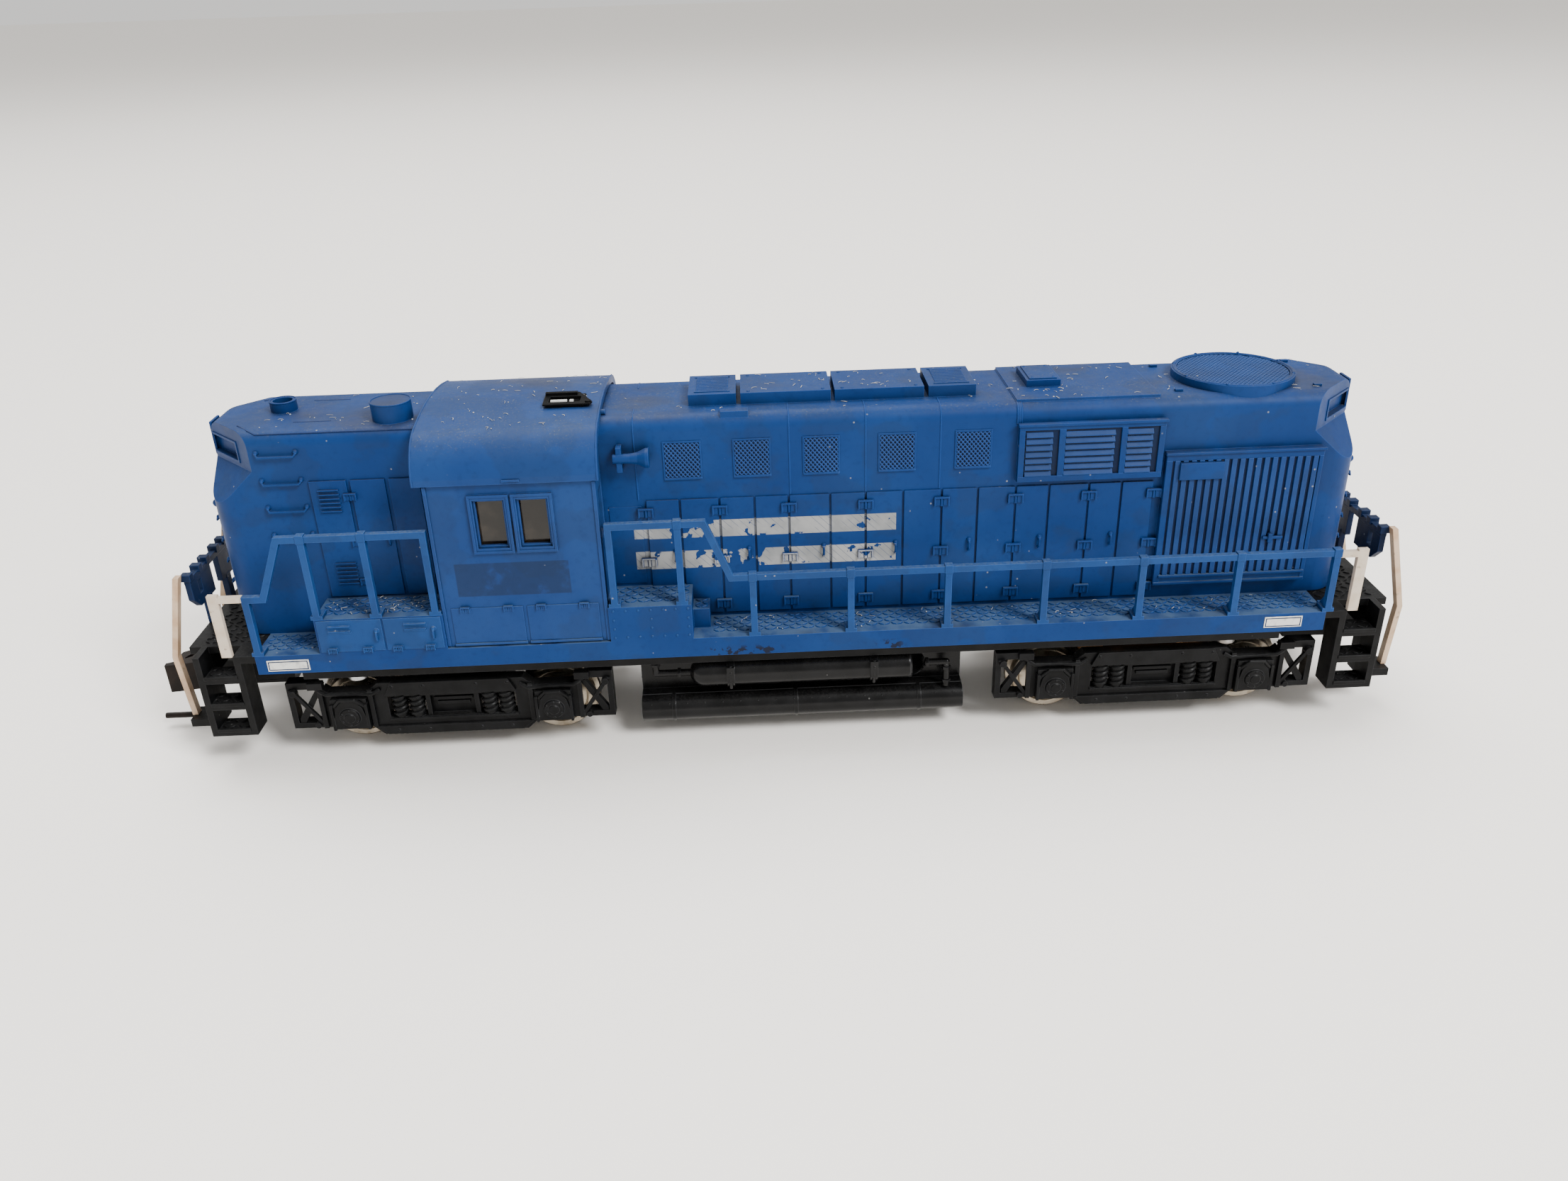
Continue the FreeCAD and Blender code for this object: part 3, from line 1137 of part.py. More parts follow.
os.makedirs("parts", exist_ok=True)
for name, thing in nodes.items():
    thing.Shape.exportStep(f"parts/{name}.step")
    limits = thing.Shape.BoundBox
    print(f"{name:32s} {len(thing.Shape.Solids)} solids  x {limits.XMin:7.2f} {limits.XMax:7.2f}"
          f"  y {limits.YMin:6.2f} {limits.YMax:6.2f}  z {limits.ZMin:6.2f} {limits.ZMax:6.2f}")
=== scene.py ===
import random
from math import cos, hypot, pi, radians, sin, sqrt

import bmesh
import bpy
from mathutils import Matrix, Vector


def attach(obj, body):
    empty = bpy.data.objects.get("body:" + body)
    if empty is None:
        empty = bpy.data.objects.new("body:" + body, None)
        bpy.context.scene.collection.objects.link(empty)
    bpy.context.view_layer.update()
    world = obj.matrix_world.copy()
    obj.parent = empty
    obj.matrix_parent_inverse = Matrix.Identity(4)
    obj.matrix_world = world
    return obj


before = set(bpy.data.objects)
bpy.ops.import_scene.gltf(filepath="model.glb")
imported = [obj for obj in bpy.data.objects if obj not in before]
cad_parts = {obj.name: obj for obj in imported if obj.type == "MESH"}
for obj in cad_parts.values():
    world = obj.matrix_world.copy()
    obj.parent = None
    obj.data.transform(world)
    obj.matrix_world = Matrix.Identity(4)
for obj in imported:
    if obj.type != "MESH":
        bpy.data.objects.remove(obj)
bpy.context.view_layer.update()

# Model diesel locomotive. Shapes are given in millimetres in the row frame and
# turned into metres when a piece is made.

MM = 0.001
SIDES = (-1, 1)
AHEAD, LEFT, UP = (1, 0, 0), (0, 1, 0), (0, 0, 1)
LOCO = "locomotive_body"
TRUCKS = {"power_truck": 58.5, "rear_truck": -55.5}


# ---- materials

PAINTS = {}


class Finish:
    """A node material built coat over coat; the helpers return output sockets."""

    def __init__(self, name, roughness, metallic=0.0, edge=0.12, shine=0.5):
        self.material = bpy.data.materials.new(name)
        self.material.use_nodes = True
        self.tree = self.material.node_tree
        self.shader = self.tree.nodes["Principled BSDF"]
        self.shader.inputs["Metallic"].default_value = metallic
        self.shader.inputs["Specular IOR Level"].default_value = shine
        self.roughness = roughness
        self.paint = None
        coordinates = self.tree.nodes.new("ShaderNodeTexCoord")
        self.place = coordinates.outputs["Object"]
        parts = self.node("SeparateXYZ", {0: coordinates.outputs["Normal"]})
        self.upward = parts.outputs[2]
        self.sideways = self.maths("ABSOLUTE", parts.outputs[1])
        self.rounded = self.node("Bevel", {"Radius": edge * MM}, samples=6).outputs[0]
        PAINTS[name] = self.material

    def node(self, kind, inputs, **settings):
        """A new node with its inputs linked or set."""
        made = self.tree.nodes.new("ShaderNode" + kind)
        for key, value in settings.items():
            setattr(made, key, value)
        for key, value in inputs.items():
            if isinstance(value, bpy.types.NodeSocket):
                self.tree.links.new(value, made.inputs[key])
            elif isinstance(value, tuple) and made.inputs[key].type == "RGBA":
                made.inputs[key].default_value = (*value, 1.0)
            else:
                made.inputs[key].default_value = value
        return made

    def maths(self, operation, first, second=0.0):
        return self.node("Math", {0: first, 1: second}, operation=operation).outputs[0]

    def scaled(self, value, factor, offset):
        """value * factor + offset"""
        return self.node("Math", {0: value, 1: factor, 2: offset},
                         operation="MULTIPLY_ADD").outputs[0]

    def noise(self, per_mm, detail):
        """Cloudy pattern with about per_mm features in a millimetre."""
        return self.node("TexNoise", {"Vector": self.place, "Scale": per_mm / MM,
                                      "Detail": detail}).outputs["Fac"]

    def ramp(self, value, low, high):
        """0 at low and 1 at high, smooth between."""
        return self.node("MapRange", {"Value": value, "From Min": low, "From Max": high},
                         interpolation_type="SMOOTHSTEP").outputs["Result"]

    def cloud(self, per_mm, detail, low, high):
        """Soft patches: noise with its contrast raised."""
        return self.ramp(self.noise(per_mm, detail), low, high)

    def specks(self, low, high, patches):
        """Small scattered dots that come in patches."""
        cells = self.node("TexVoronoi", {"Vector": self.place, "Scale": 0.5 / MM})
        return self.product(self.ramp(cells.outputs["Distance"], low, high), patches, 0.6)

    def within(self, value, low, high, soft):
        """1 between low and high, fading out over a width inside each limit."""
        return self.product(self.ramp(value, low, low + soft), self.ramp(value, high, high - soft))

    def product(self, *values):
        result = values[0]
        for value in values[1:]:
            result = self.maths("MULTIPLY", result, value)
        return result

    def blend(self, factor, first, second):
        """Colour between first and second."""
        mixed = self.node("Mix", {0: factor, 6: first, 7: second}, data_type="RGBA")
        return mixed.outputs[2]

    def base(self, first, second, *cloud):
        """Start the paint as a cloudy mixture of two colours."""
        self.paint = self.blend(self.cloud(*cloud), first, second)

    def coat(self, colour, *factors):
        """Lay a colour over the paint so far, as strongly as the factors say together."""
        self.paint = self.blend(self.product(*factors), self.paint, colour)

    def edges(self):
        """1 where two faces meet at a corner."""
        true_normal = self.node("NewGeometry", {}).outputs["Normal"]
        facing = self.node("VectorMath", {0: self.rounded, 1: true_normal},
                           operation="DOT_PRODUCT").outputs["Value"]
        return self.ramp(facing, 0.999, 0.93)

    def settled_dust(self, amount):
        """Patchy dust that lies on faces that look up."""
        patches = self.scaled(self.cloud(0.09, 5.0, 0.32, 0.66), 0.6, 0.4)
        grains = self.scaled(self.cloud(2.6, 4.0, 0.38, 0.66), 0.7, 0.3)
        return self.product(self.ramp(self.upward, 0.35, 0.95), patches, grains, amount)

    def millimetres(self):
        """x, distance from the middle plane, and z."""
        spots = self.node("SeparateXYZ", {0: self.place}).outputs
        x, y, z = [self.maths("MULTIPLY", spot, 1 / MM) for spot in spots]
        return x, self.maths("ABSOLUTE", y), z

    def done(self, grain=0.012, waves=0.02, roughness_swing=0.12, shade=0.0):
        """Link colour, roughness and fine relief; shade darkens the whole paint."""
        if shade:
            self.coat((0.0, 0.0, 0.0), shade)
        rough = self.scaled(self.noise(0.5, 4.0), roughness_swing * 2,
                            self.roughness - roughness_swing)
        self.tree.links.new(rough, self.shader.inputs["Roughness"])
        if self.paint is not None:
            self.tree.links.new(self.paint, self.shader.inputs["Base Color"])
        fine = self.node("Bump", {"Height": self.noise(7.0, 3.0), "Distance": grain * MM,
                                  "Normal": self.rounded})
        broad = self.node("Bump", {"Height": self.noise(0.35, 2.0), "Distance": waves * MM,
                                   "Normal": fine.outputs[0]})
        self.tree.links.new(broad.outputs[0], self.shader.inputs["Normal"])


def stripes(finish):
    """Two plain flaked stripes, printed on the long hood's sides over the moulded relief."""
    ramp, cloud, product, within = finish.ramp, finish.cloud, finish.product, finish.within
    x, y, z = finish.millimetres()
    on_side = product(ramp(y, 9.85, 9.9), ramp(y, 10.9, 10.8), ramp(finish.sideways, 0.6, 0.7))
    flakes = finish.noise(0.55, 5.0)
    printed = None
    for low, high, lost, worn in ((34.65, 37.55, (-18.9, -15.4), (-15.4, -11.5)),
                                  (29.45, 32.5, (-10.4, -4.2), (-15.2, -10.4))):
        hold = 0.665
        for span, loss in ((lost, 0.21), (worn, 0.12), ((8.0, 13.0), 0.05)):
            inside = within(x, span[0] - 0.5, span[1] + 0.5, 1.0)
            hold = finish.maths("SUBTRACT", hold, product(inside, loss))
        band = product(within(z, low, high, 0.06), within(x, -24.4, 16.5, 0.06),
                       ramp(finish.maths("SUBTRACT", hold, flakes), 0.0, 0.012))
        printed = band if printed is None else finish.maths("MAXIMUM", printed, band)
    leaning = finish.maths("MULTIPLY_ADD", finish.maths("ADD", x, z), 0.8)
    scratches = product(ramp(finish.maths("FRACT", leaning), 0.10, 0.04),
                        cloud(0.3, 2.0, 0.38, 0.55), 0.7)
    white = finish.blend(cloud(0.25, 4.0, 0.3, 0.7), (0.25, 0.26, 0.265), (0.38, 0.385, 0.385))
    finish.coat(white, on_side, printed, finish.maths("SUBTRACT", 1.0, scratches))
    scuffed = finish.maths("MAXIMUM", within(x, -15.0, -1.0, 3.0), within(x, 12.0, 18.0, 2.0))
    finish.coat((0.006, 0.006, 0.008), scuffed, ramp(y, 17.3, 17.4), ramp(z, 19.4, 18.4),
                cloud(0.8, 4.0, 0.53, 0.56), 0.85)


def cab_patch(finish):
    """Darker rectangle of varnish low on both cab sides."""
    x, y, z = finish.millimetres()
    finish.coat((0.010, 0.018, 0.040), finish.within(x, -51.2, -33.8, 0.2),
                finish.within(z, 29.2, 34.9, 0.2), finish.ramp(y, 16.6, 16.8),
                finish.cloud(0.5, 4.0, 0.2, 0.5), 0.6)


def blue_plastic(name, base, faded, livery=False, dust=0.24, dust_colour=(0.065, 0.078, 0.090),
                 edge=0.12):
    """Moulded blue plastic: uneven colour, pale edges, painted shade in crevices, dust on top and
    small pale specks.
    """
    finish = Finish(name, 0.5, edge=edge, shine=0.12)
    cloud, coat = finish.cloud, finish.coat
    finish.base(base, faded, 0.06, 5.0, 0.3, 0.7)
    coat(tuple(value * 0.72 for value in base), cloud(1.1, 4.0, 0.5, 0.75), 0.35)
    coat((0.012, 0.026, 0.060), cloud(0.13, 3.0, 0.50, 0.56), 0.22)
    if livery:
        stripes(finish)
        cab_patch(finish)
    coat(tuple(value * 2.1 + 0.016 for value in faded), finish.edges(), 0.65)
    # Painted shade: a near-black blue laid in patches into corners and gaps that the occlusion test
    # finds hidden from light.
    occlusion_shade = finish.node("AmbientOcclusion", {"Distance": 2.2 * MM}, samples=6).outputs["AO"]
    coat((0.004, 0.006, 0.012), finish.ramp(occlusion_shade, 0.8, 0.25), cloud(0.22, 4.0, 0.25, 0.65), 0.8)
    coat(dust_colour, finish.settled_dust(dust))
    up = finish.ramp(finish.upward, 0.5, 0.95)
    if livery:
        low_down = finish.ramp(finish.millimetres()[2], 29.0, 27.0)
        coat((0.072, 0.124, 0.220), up, low_down, cloud(0.25, 5.0, 0.25, 0.6), 0.85)
        coat((0.042, 0.038, 0.032), up, cloud(0.07, 4.0, 0.5, 0.68), 0.38)
    coat((0.120, 0.128, 0.135), up, cloud(3.2, 5.0, 0.58, 0.70), cloud(0.16, 3.0, 0.35, 0.6), 0.45)
    coat((0.30, 0.31, 0.33), finish.specks(0.09, 0.06, cloud(0.3, 2.0, 0.56, 0.60)))
    finish.done(shade=0.22)


def dark_plastic(name, base, roughness, dust, shine=0.12):
    """Black moulded plastic with grey dust, pale edges that are partly wear and partly painted
    highlight, and uneven gloss.
    """
    finish = Finish(name, roughness, shine=shine)
    finish.base(base, tuple(value * 2.4 + 0.002 for value in base), 0.3, 5.0, 0.35, 0.7)
    # Pale edges: partly wear, partly painted highlight standing for the grey glints along the
    # edges.
    finish.coat((0.045, 0.046, 0.049), finish.edges(), 0.6)
    finish.coat((0.050, 0.049, 0.047), finish.settled_dust(dust))
    finish.coat((0.22, 0.22, 0.21), finish.specks(0.08, 0.05, finish.cloud(0.3, 2.0, 0.57, 0.60)))
    finish.done(grain=0.010, waves=0.03, shade=0.35)


def light_plastic(name, base, stain):
    """Pale moulded plastic that has yellowed, with dirt in patches."""
    finish = Finish(name, 0.45, shine=0.25)
    finish.base(base, stain, 0.35, 5.0, 0.42, 0.7)
    finish.coat((0.12, 0.085, 0.055), finish.cloud(0.9, 5.0, 0.62, 0.74), 0.6)
    finish.coat((0.2, 0.19, 0.17), finish.settled_dust(0.3))
    finish.done()


def metal(name, base, tarnish, roughness):
    """Bare metal with tarnish in clouds and fine scratches."""
    finish = Finish(name, roughness, metallic=1.0, edge=0.08)
    finish.base(base, tarnish, 0.5, 5.0, 0.42, 0.72)
    finish.coat(tarnish, finish.cloud(3.0, 3.0, 0.6, 0.7), 0.5)
    finish.done(grain=0.006, waves=0.01, roughness_swing=0.1)


def smoky_window():
    """Dark brown clear plastic with a film of dust and rubbed marks."""
    finish = Finish("smoky_window", 0.14, shine=0.3)
    finish.shader.inputs["Transmission Weight"].default_value = 0.25
    finish.shader.inputs["IOR"].default_value = 1.49
    finish.base((0.007, 0.005, 0.003), (0.026, 0.020, 0.014), 0.35, 5.0, 0.42, 0.75)
    finish.done(grain=0.003, waves=0.02, roughness_swing=0.08)


def clear_plastic():
    """Clear lens plastic, a little milky."""
    finish = Finish("lens", 0.1)
    finish.shader.inputs["Transmission Weight"].default_value = 0.8
    finish.base((0.75, 0.76, 0.72), (0.6, 0.6, 0.55), 0.8, 3.0, 0.3, 0.7)
    finish.done(grain=0.002, waves=0.01, roughness_swing=0.05)


def plain(name, roughness, base, stain, cloud, grain=0.012):
    """Unpolished stuff of two colours in clouds."""
    finish = Finish(name, roughness)
    finish.base(base, stain, *cloud)
    finish.done(grain=grain)


blue_plastic("hood_blue", (0.0028, 0.030, 0.140), (0.0055, 0.041, 0.170), livery=True)
# Painted highlight in part: besides being the cab's own blue, this lighter blue is put on the
# hood's louvre and shutter slats for the light they catch.
blue_plastic("cab_blue", (0.0080, 0.039, 0.158), (0.012, 0.050, 0.180), livery=True)
blue_plastic("rail_blue", (0.0075, 0.048, 0.180), (0.012, 0.060, 0.205),
             dust=0.85, dust_colour=(0.080, 0.120, 0.205))
blue_plastic("tread_blue", (0.0025, 0.036, 0.160), (0.006, 0.05, 0.185),
             dust=1.0, dust_colour=(0.130, 0.165, 0.225))
# Painted shade: this very dark blue is only laid on plates and lines that stand for shadow in
# openings and grooves.
blue_plastic("shadow_blue", (0.0004, 0.009, 0.050), (0.0006, 0.012, 0.062),
             dust=0.1, dust_colour=(0.03, 0.03, 0.03))
blue_plastic("railing_blue", (0.0008, 0.006, 0.028), (0.0015, 0.014, 0.06), edge=0.2)
dark_plastic("black_plastic", (0.0022, 0.0023, 0.0026), 0.4, 0.4)
dark_plastic("gloss_black", (0.0018, 0.0018, 0.0020), 0.24, 0.2, shine=0.2)
dark_plastic("soot_black", (0.0010, 0.0010, 0.0011), 0.6, 0.1, shine=0.06)
dark_plastic("grey_plastic", (0.012, 0.012, 0.013), 0.5, 0.4)
dark_plastic("brown_plastic", (0.010, 0.0062, 0.0045), 0.42, 0.35)
dark_plastic("ferrite", (0.020, 0.020, 0.021), 0.7, 0.1)
dark_plastic("red_lead", (0.10, 0.008, 0.006), 0.45, 0.2)
light_plastic("cream_plastic", (0.56, 0.41, 0.285), (0.46, 0.30, 0.185))
light_plastic("white_plastic", (0.54, 0.46, 0.375), (0.46, 0.37, 0.28))
light_plastic("gear_plastic", (0.60, 0.59, 0.52), (0.50, 0.47, 0.38))
metal("nickel", (0.40, 0.35, 0.28), (0.20, 0.16, 0.11), 0.30)
metal("steel", (0.42, 0.42, 0.42), (0.22, 0.20, 0.18), 0.36)
metal("bronze", (0.58, 0.29, 0.12), (0.28, 0.13, 0.06), 0.34)
metal("brass", (0.62, 0.45, 0.20), (0.34, 0.23, 0.10), 0.30)
metal("copper", (0.55, 0.19, 0.08), (0.30, 0.10, 0.05), 0.35)
smoky_window()
clear_plastic()
plain("plate", 0.4, (0.62, 0.62, 0.60), (0.36, 0.36, 0.35), (0.9, 4.0, 0.45, 0.75), grain=0.004)
plain("lint", 0.9, (0.30, 0.29, 0.27), (0.62, 0.61, 0.58), (0.8, 3.0, 0.3, 0.7))

NODE_PAINT = {
    "hood_blue": "body_shell side_horn radiator_fan_grille",
    "cab_blue": "cab",
    "rail_blue": "side_handrails",
    "railing_blue": "end_railings",
    "soot_black": "roof_horn_bracket motor_brushes",
    "black_plastic": """
        front_pilot_and_steps rear_pilot_and_steps underframe coupler_boxes power_truck_side_frames
        rear_truck_side_frames rear_truck_bolster rear_coupler_lid lamp_bracket""",
    "gloss_black": "fuel_tank air_reservoirs",
    "grey_plastic": "power_truck_gear_block power_truck_gear_cover",
    "brown_plastic": "rear_coupler rear_coupler_knuckle coupler_trip_pin",
    "cream_plastic": "pilot_handrails",
    "white_plastic": "step_grab_irons",
    "gear_plastic": """
        front_axle_gear rear_axle_gear front_idler_gear rear_idler_gear reduction_gear""",
    "nickel": "front_drive_wheels rear_drive_wheels front_trailing_wheels rear_trailing_wheels",
    "steel": """
        front_drive_axle rear_drive_axle front_trailing_axle rear_trailing_axle gear_pins
        motor_shaft motor_housing ballast_weights body_screws rear_truck_pivot_screw armature_core
        knuckle_pin""",
    "bronze": """
        power_truck_contacts rear_truck_contacts shaft_bushes brush_springs front_coupler_spring""",
    "brass": "motor_pinion",
    "copper": "armature_windings commutator",
    "ferrite": "motor_magnets",
    "red_lead": "pickup_leads",
    "smoky_window": "cab_window_glazing",
    "lens": "headlight_lenses headlight_bulb",
}
for paint, names in NODE_PAINT.items():
    for name in names.split():
        for material_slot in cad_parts[name].material_slots:
            material_slot.material = PAINTS[paint]


# ---- shapes

SHARP = radians(38)


def around(centre, across, third, radius, sides):
    """Points on a circle spanned by two directions."""
    angles = [2 * pi * i / sides for i in range(sides)]
    return [centre + (across * cos(a) + third * sin(a)) * radius for a in angles]


def circle(centre, across, third, radius, count):
    """Closed circle spanned by two directions."""
    points = around(Vector(centre), Vector(across), Vector(third), radius, count)
    return points + points[:1]


def ring(centre, direction, radius, sides):
    """Points on a circle about a direction."""
    direction = Vector(direction).normalized()
    across = direction.orthogonal().normalized()
    return around(Vector(centre), across, direction.cross(across), radius, sides)


def add_object(name, data):
    """A new object in the scene."""
    made = bpy.data.objects.new(name, data)
    bpy.context.scene.collection.objects.link(made)
    return made


class Shape:
    """Closed solids, in millimetres, gathered into one piece."""

    def __init__(self):
        self.mesh = bmesh.new()

    def stack(self, rings):
        """Solid through rings with the same number of points."""
        made = [[self.mesh.verts.new(Vector(point) * MM) for point in points] for points in rings]
        count = len(made[0])
        for low, high in zip(made, made[1:]):
            for i in range(count):
                j = (i + 1) % count
                self.mesh.faces.new((low[i], low[j], high[j], high[i]))
        self.mesh.faces.new(made[0][::-1])
        self.mesh.faces.new(made[-1])

    def slabs(self, side, *rows):
        """Boxes on one side: x from and to, y from and to measured outwards, z from and to."""
        for x_low, x_high, y_near, y_far, z_low, z_high in rows:
            self.box((x_low, x_high), (side * y_near, side * y_far), (z_low, z_high))

    def box(self, x, y, z):
        x, y, z = sorted(x), sorted(y), sorted(z)
        corners = ((x[0], y[0]), (x[1], y[0]), (x[1], y[1]), (x[0], y[1]))
        self.stack([[(*corner, level) for corner in corners] for level in z])

    def prism(self, outline, axis, low, high):
        """Outline drawn out along an axis; its points are in the other two axes, in order."""
        index = "xyz".index(axis)
        self.stack([[(*spot[:index], level, *spot[index:]) for spot in outline]
                    for level in (low, high)])

    def rod(self, start, end, radius, sides=12, end_radius=None):
        way = Vector(end) - Vector(start)
        last = radius if end_radius is None else end_radius
        self.stack([ring(start, way, radius, sides), ring(end, way, last, sides)])

    def dome(self, centre, normal, radius, height, sides=10):
        """Rivet head."""
        normal = Vector(normal).normalized()
        rings = []
        for part in (-0.3, 0.0, 0.45, 0.8, 0.97):
            size = radius * sqrt(1 - max(part, 0.0) ** 2)
            rings.append(ring(Vector(centre) + normal * height * part, normal, size, sides))
        self.stack(rings)

    def tube(self, points, radius, sides=8):
        """Round bar along a line of points."""
        points = [Vector(point) for point in points]
        ways = []
        for i in range(len(points)):
            before = points[max(i - 1, 0)]
            after = points[min(i + 1, len(points) - 1)]
            ways.append((after - before).normalized())
        across = ways[0].orthogonal().normalized()
        rings = []
        for point, way in zip(points, ways):
            across = (across - way * across.dot(way)).normalized()
            rings.append(around(point, across, way.cross(across), radius, sides))
        self.stack(rings)

    def bar(self, start, end, width, normal, thick):
        """Flat bar between two points, lying on a face with the given normal."""
        start, end, normal = Vector(start), Vector(end), Vector(normal).normalized()
        across = normal.cross(end - start).normalized() * width / 2
        rings = []
        for point in (start, end):
            rings.append([point - across, point + across, point + across * 0.6 + normal * thick,
                          point - across * 0.6 + normal * thick])
        self.stack(rings)

    def piece(self, name, paint="hood_blue", body=LOCO, bevel=0.05, segments=2):
        """Make the object, with softened edges, and let it ride on a body."""
        bmesh.ops.recalc_face_normals(self.mesh, faces=self.mesh.faces)
        mesh = bpy.data.meshes.new(name)
        self.mesh.to_mesh(mesh)
        self.mesh.free()
        for polygon in mesh.polygons:
            polygon.use_smooth = True
        mesh.set_sharp_from_angle(angle=SHARP)
        mesh.materials.append(PAINTS[paint])
        made = add_object(name, mesh)
        if bevel:
            soften = made.modifiers.new("edges", "BEVEL")
            soften.width = bevel * MM
            soften.segments = segments
            soften.limit_method = "ANGLE"
            soften.angle_limit = SHARP
            soften.harden_normals = True
        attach(made, body)


def clipped(a, b, slope_x, slope_y, inside):
    """The stretch of a line through (a, b) that lies inside a test region."""
    steps = [i * 0.05 for i in range(-400, 401)]
    held = [t for t in steps if inside(a + t * slope_x, b + t * slope_y)]
    if len(held) < 4:
        return None
    return [(a + t * slope_x, b + t * slope_y) for t in (held[0], held[-1])]


def weave(shape, middle, reach, pitch, angle, inside, to_space, normal, width, thick):
    """Crossed diagonal wires over a region of a plane."""
    for way in (angle, 180 - angle):
        dx = cos(radians(way))
        dy = sin(radians(way))
        count = int(reach / pitch)
        for i in range(-count, count + 1):
            ends = clipped(middle[0] - dy * i * pitch, middle[1] + dx * i * pitch, dx, dy, inside)
            if ends:
                lift = 0.0 if way == angle else thick * 0.45
                start, end = [Vector(to_space(*spot)) + Vector(normal) * lift for spot in ends]
                shape.bar(start, end, width, normal, thick)


# ---- long hood sides

HOOD_GRILLES = [(-19.1, -13.2), (-8.5, -2.7), (2.1, 7.8), (13.6, 19.4), (25.3, 31.0)]
SEAMS = [-22.3, -17.0, -10.9, -5.5, -0.2, 6.2, 11.7, 17.5, 23.5, 29.1, 35.0, 40.2, 46.4, 51.5,
         56.6]
DOOR_HEIGHTS = (21.35, 41.1)
HINGE_HEIGHTS = (23.1, 30.8, 39.2)


def frame_strips(shape, x, z, side, near, far, width):
    """Four strips round a rectangle on a side wall."""
    base, top = z[0] + width, z[1] - width
    shape.slabs(side, (*x, near, far, top, z[1]), (*x, near, far, z[0], base),
                (x[0], x[0] + width, near, far, base, top),
                (x[1] - width, x[1], near, far, base, top))


def hood_grilles():
    """Ten square openings with expanded-metal mesh over dark plates of painted shade."""
    rims, mesh, shade = Shape(), Shape(), Shape()
    z = (44.4, 50.5)
    for side in SIDES:
        for low, high in HOOD_GRILLES:
            frame_strips(rims, (low, high), z, side, 9.8, 10.14, 0.3)
            # Painted shade: a dark blue plate behind the mesh stands for the shadow inside the
            # opening.
            shade.slabs(side, (low + 0.2, high - 0.2, 9.8, 10.02, z[0] + 0.2, z[1] - 0.2))
            rims.slabs(side, (low + 0.1, high - 0.1, 9.9, 10.3, z[0] - 0.05, z[0] + 0.18))
            x_in = (low + 0.28, high - 0.28)
            z_in = (z[0] + 0.28, z[1] - 0.28)
            middle = (sum(x_in) / 2, sum(z_in) / 2)
            weave(mesh, middle, 5.2, 0.5, 50,
                  lambda a, b: x_in[0] <= a <= x_in[1] and z_in[0] <= b <= z_in[1],
                  lambda a, b: (a, side * 10.0, b), (0, side, 0), 0.22, 0.14)
    rims.piece("hood_grille_rims")
    mesh.piece("hood_grille_mesh", "cab_blue", bevel=0)
    shade.piece("hood_grille_shadow_plates", "shadow_blue", bevel=0)


def hinge(shape, x, z, wall, side, size=1.0):
    """Strap hinge across a seam: a bent strap with two leaves round a barrel."""
    for way in SIDES:
        reach = way * size
        shape.slabs(side, (x + reach * 0.3, x + reach * 1.15, wall, wall + 0.28,
                           z - 0.7 * size, z + 0.7 * size),
                    (x + reach * 0.95, x + reach * 1.2, wall, wall + 0.5,
                     z - 0.75 * size, z + 0.75 * size))
    shape.slabs(side, (x - 1.15 * size, x + 1.15 * size, wall, wall + 0.52,
                       z + 0.5 * size, z + 0.76 * size))
    pin = (x, side * (wall + 0.1))
    shape.rod((*pin, z - 0.8 * size), (*pin, z + 0.6 * size), 0.28 * size)


def latch(shape, x, z, wall, side):
    """Door handle: an upright lever on a round boss, standing clear of the door."""
    shape.dome((x, side * wall, z + 0.9), (0, side, 0), 0.42, 0.5)
    shape.tube([(x, side * (wall + 0.15), z + 0.95), (x, side * (wall + 0.55), z + 0.6),
                (x, side * (wall + 0.5), z - 0.5), (x - 0.1, side * (wall + 0.1), z - 0.95)], 0.19)


def hood_doors():
    """Engine-room doors with their hinges and latches."""
    doors, fittings = Shape(), Shape()
    for side in SIDES:
        for low, high in zip(SEAMS, SEAMS[1:]):
            doors.slabs(side, (low + 0.15, high - 0.15, 9.8, 10.32, *DOOR_HEIGHTS))
        for x in SEAMS[::2]:
            for z in HINGE_HEIGHTS:
                hinge(fittings, x, z, 10.25, side)
        for x in SEAMS[1::2]:
            latch(fittings, x - 1.1, 31.6, 10.3, side)
        doors.slabs(side, (-28.0, -22.9, 9.8, 10.1, 27.0, 40.2))
    doors.piece("hood_doors", bevel=0.12)
    fittings.piece("hood_door_fittings", bevel=0.04, segments=1)


def over_the_edge(x, side, low, inner, lift):
    """Line up a hood wall, round the roof edge and in over the roof."""
    radius = 2.2 + lift
    points = [(x, side * (10.0 + lift), low), (x, side * (10.0 + lift), 52.0)]
    for i in range(1, 7):
        angle = radians(15 * i)
        points.append((x, side * (7.8 + radius * cos(angle)), 52.0 + radius * sin(angle)))
    points.append((x, side * inner, 54.2 + lift))
    return points


def hood_panels():
    """Joint strips between the hood's panels and the raised arch over the louvres."""
    strips = Shape()
    for side in SIDES:
        for x in (-23.3, 0.1, 11.7, 23.1):
            strips.tube(over_the_edge(x, side, 41.2, 5.2, -0.04), 0.15, sides=6)
        for offset in (0.0, 0.28, 0.56):
            strips.tube(over_the_edge(34.75 + offset, side, 51.2, 0.0, -0.02), 0.2, sides=6)
    strips.piece("hood_joint_strips", bevel=0)


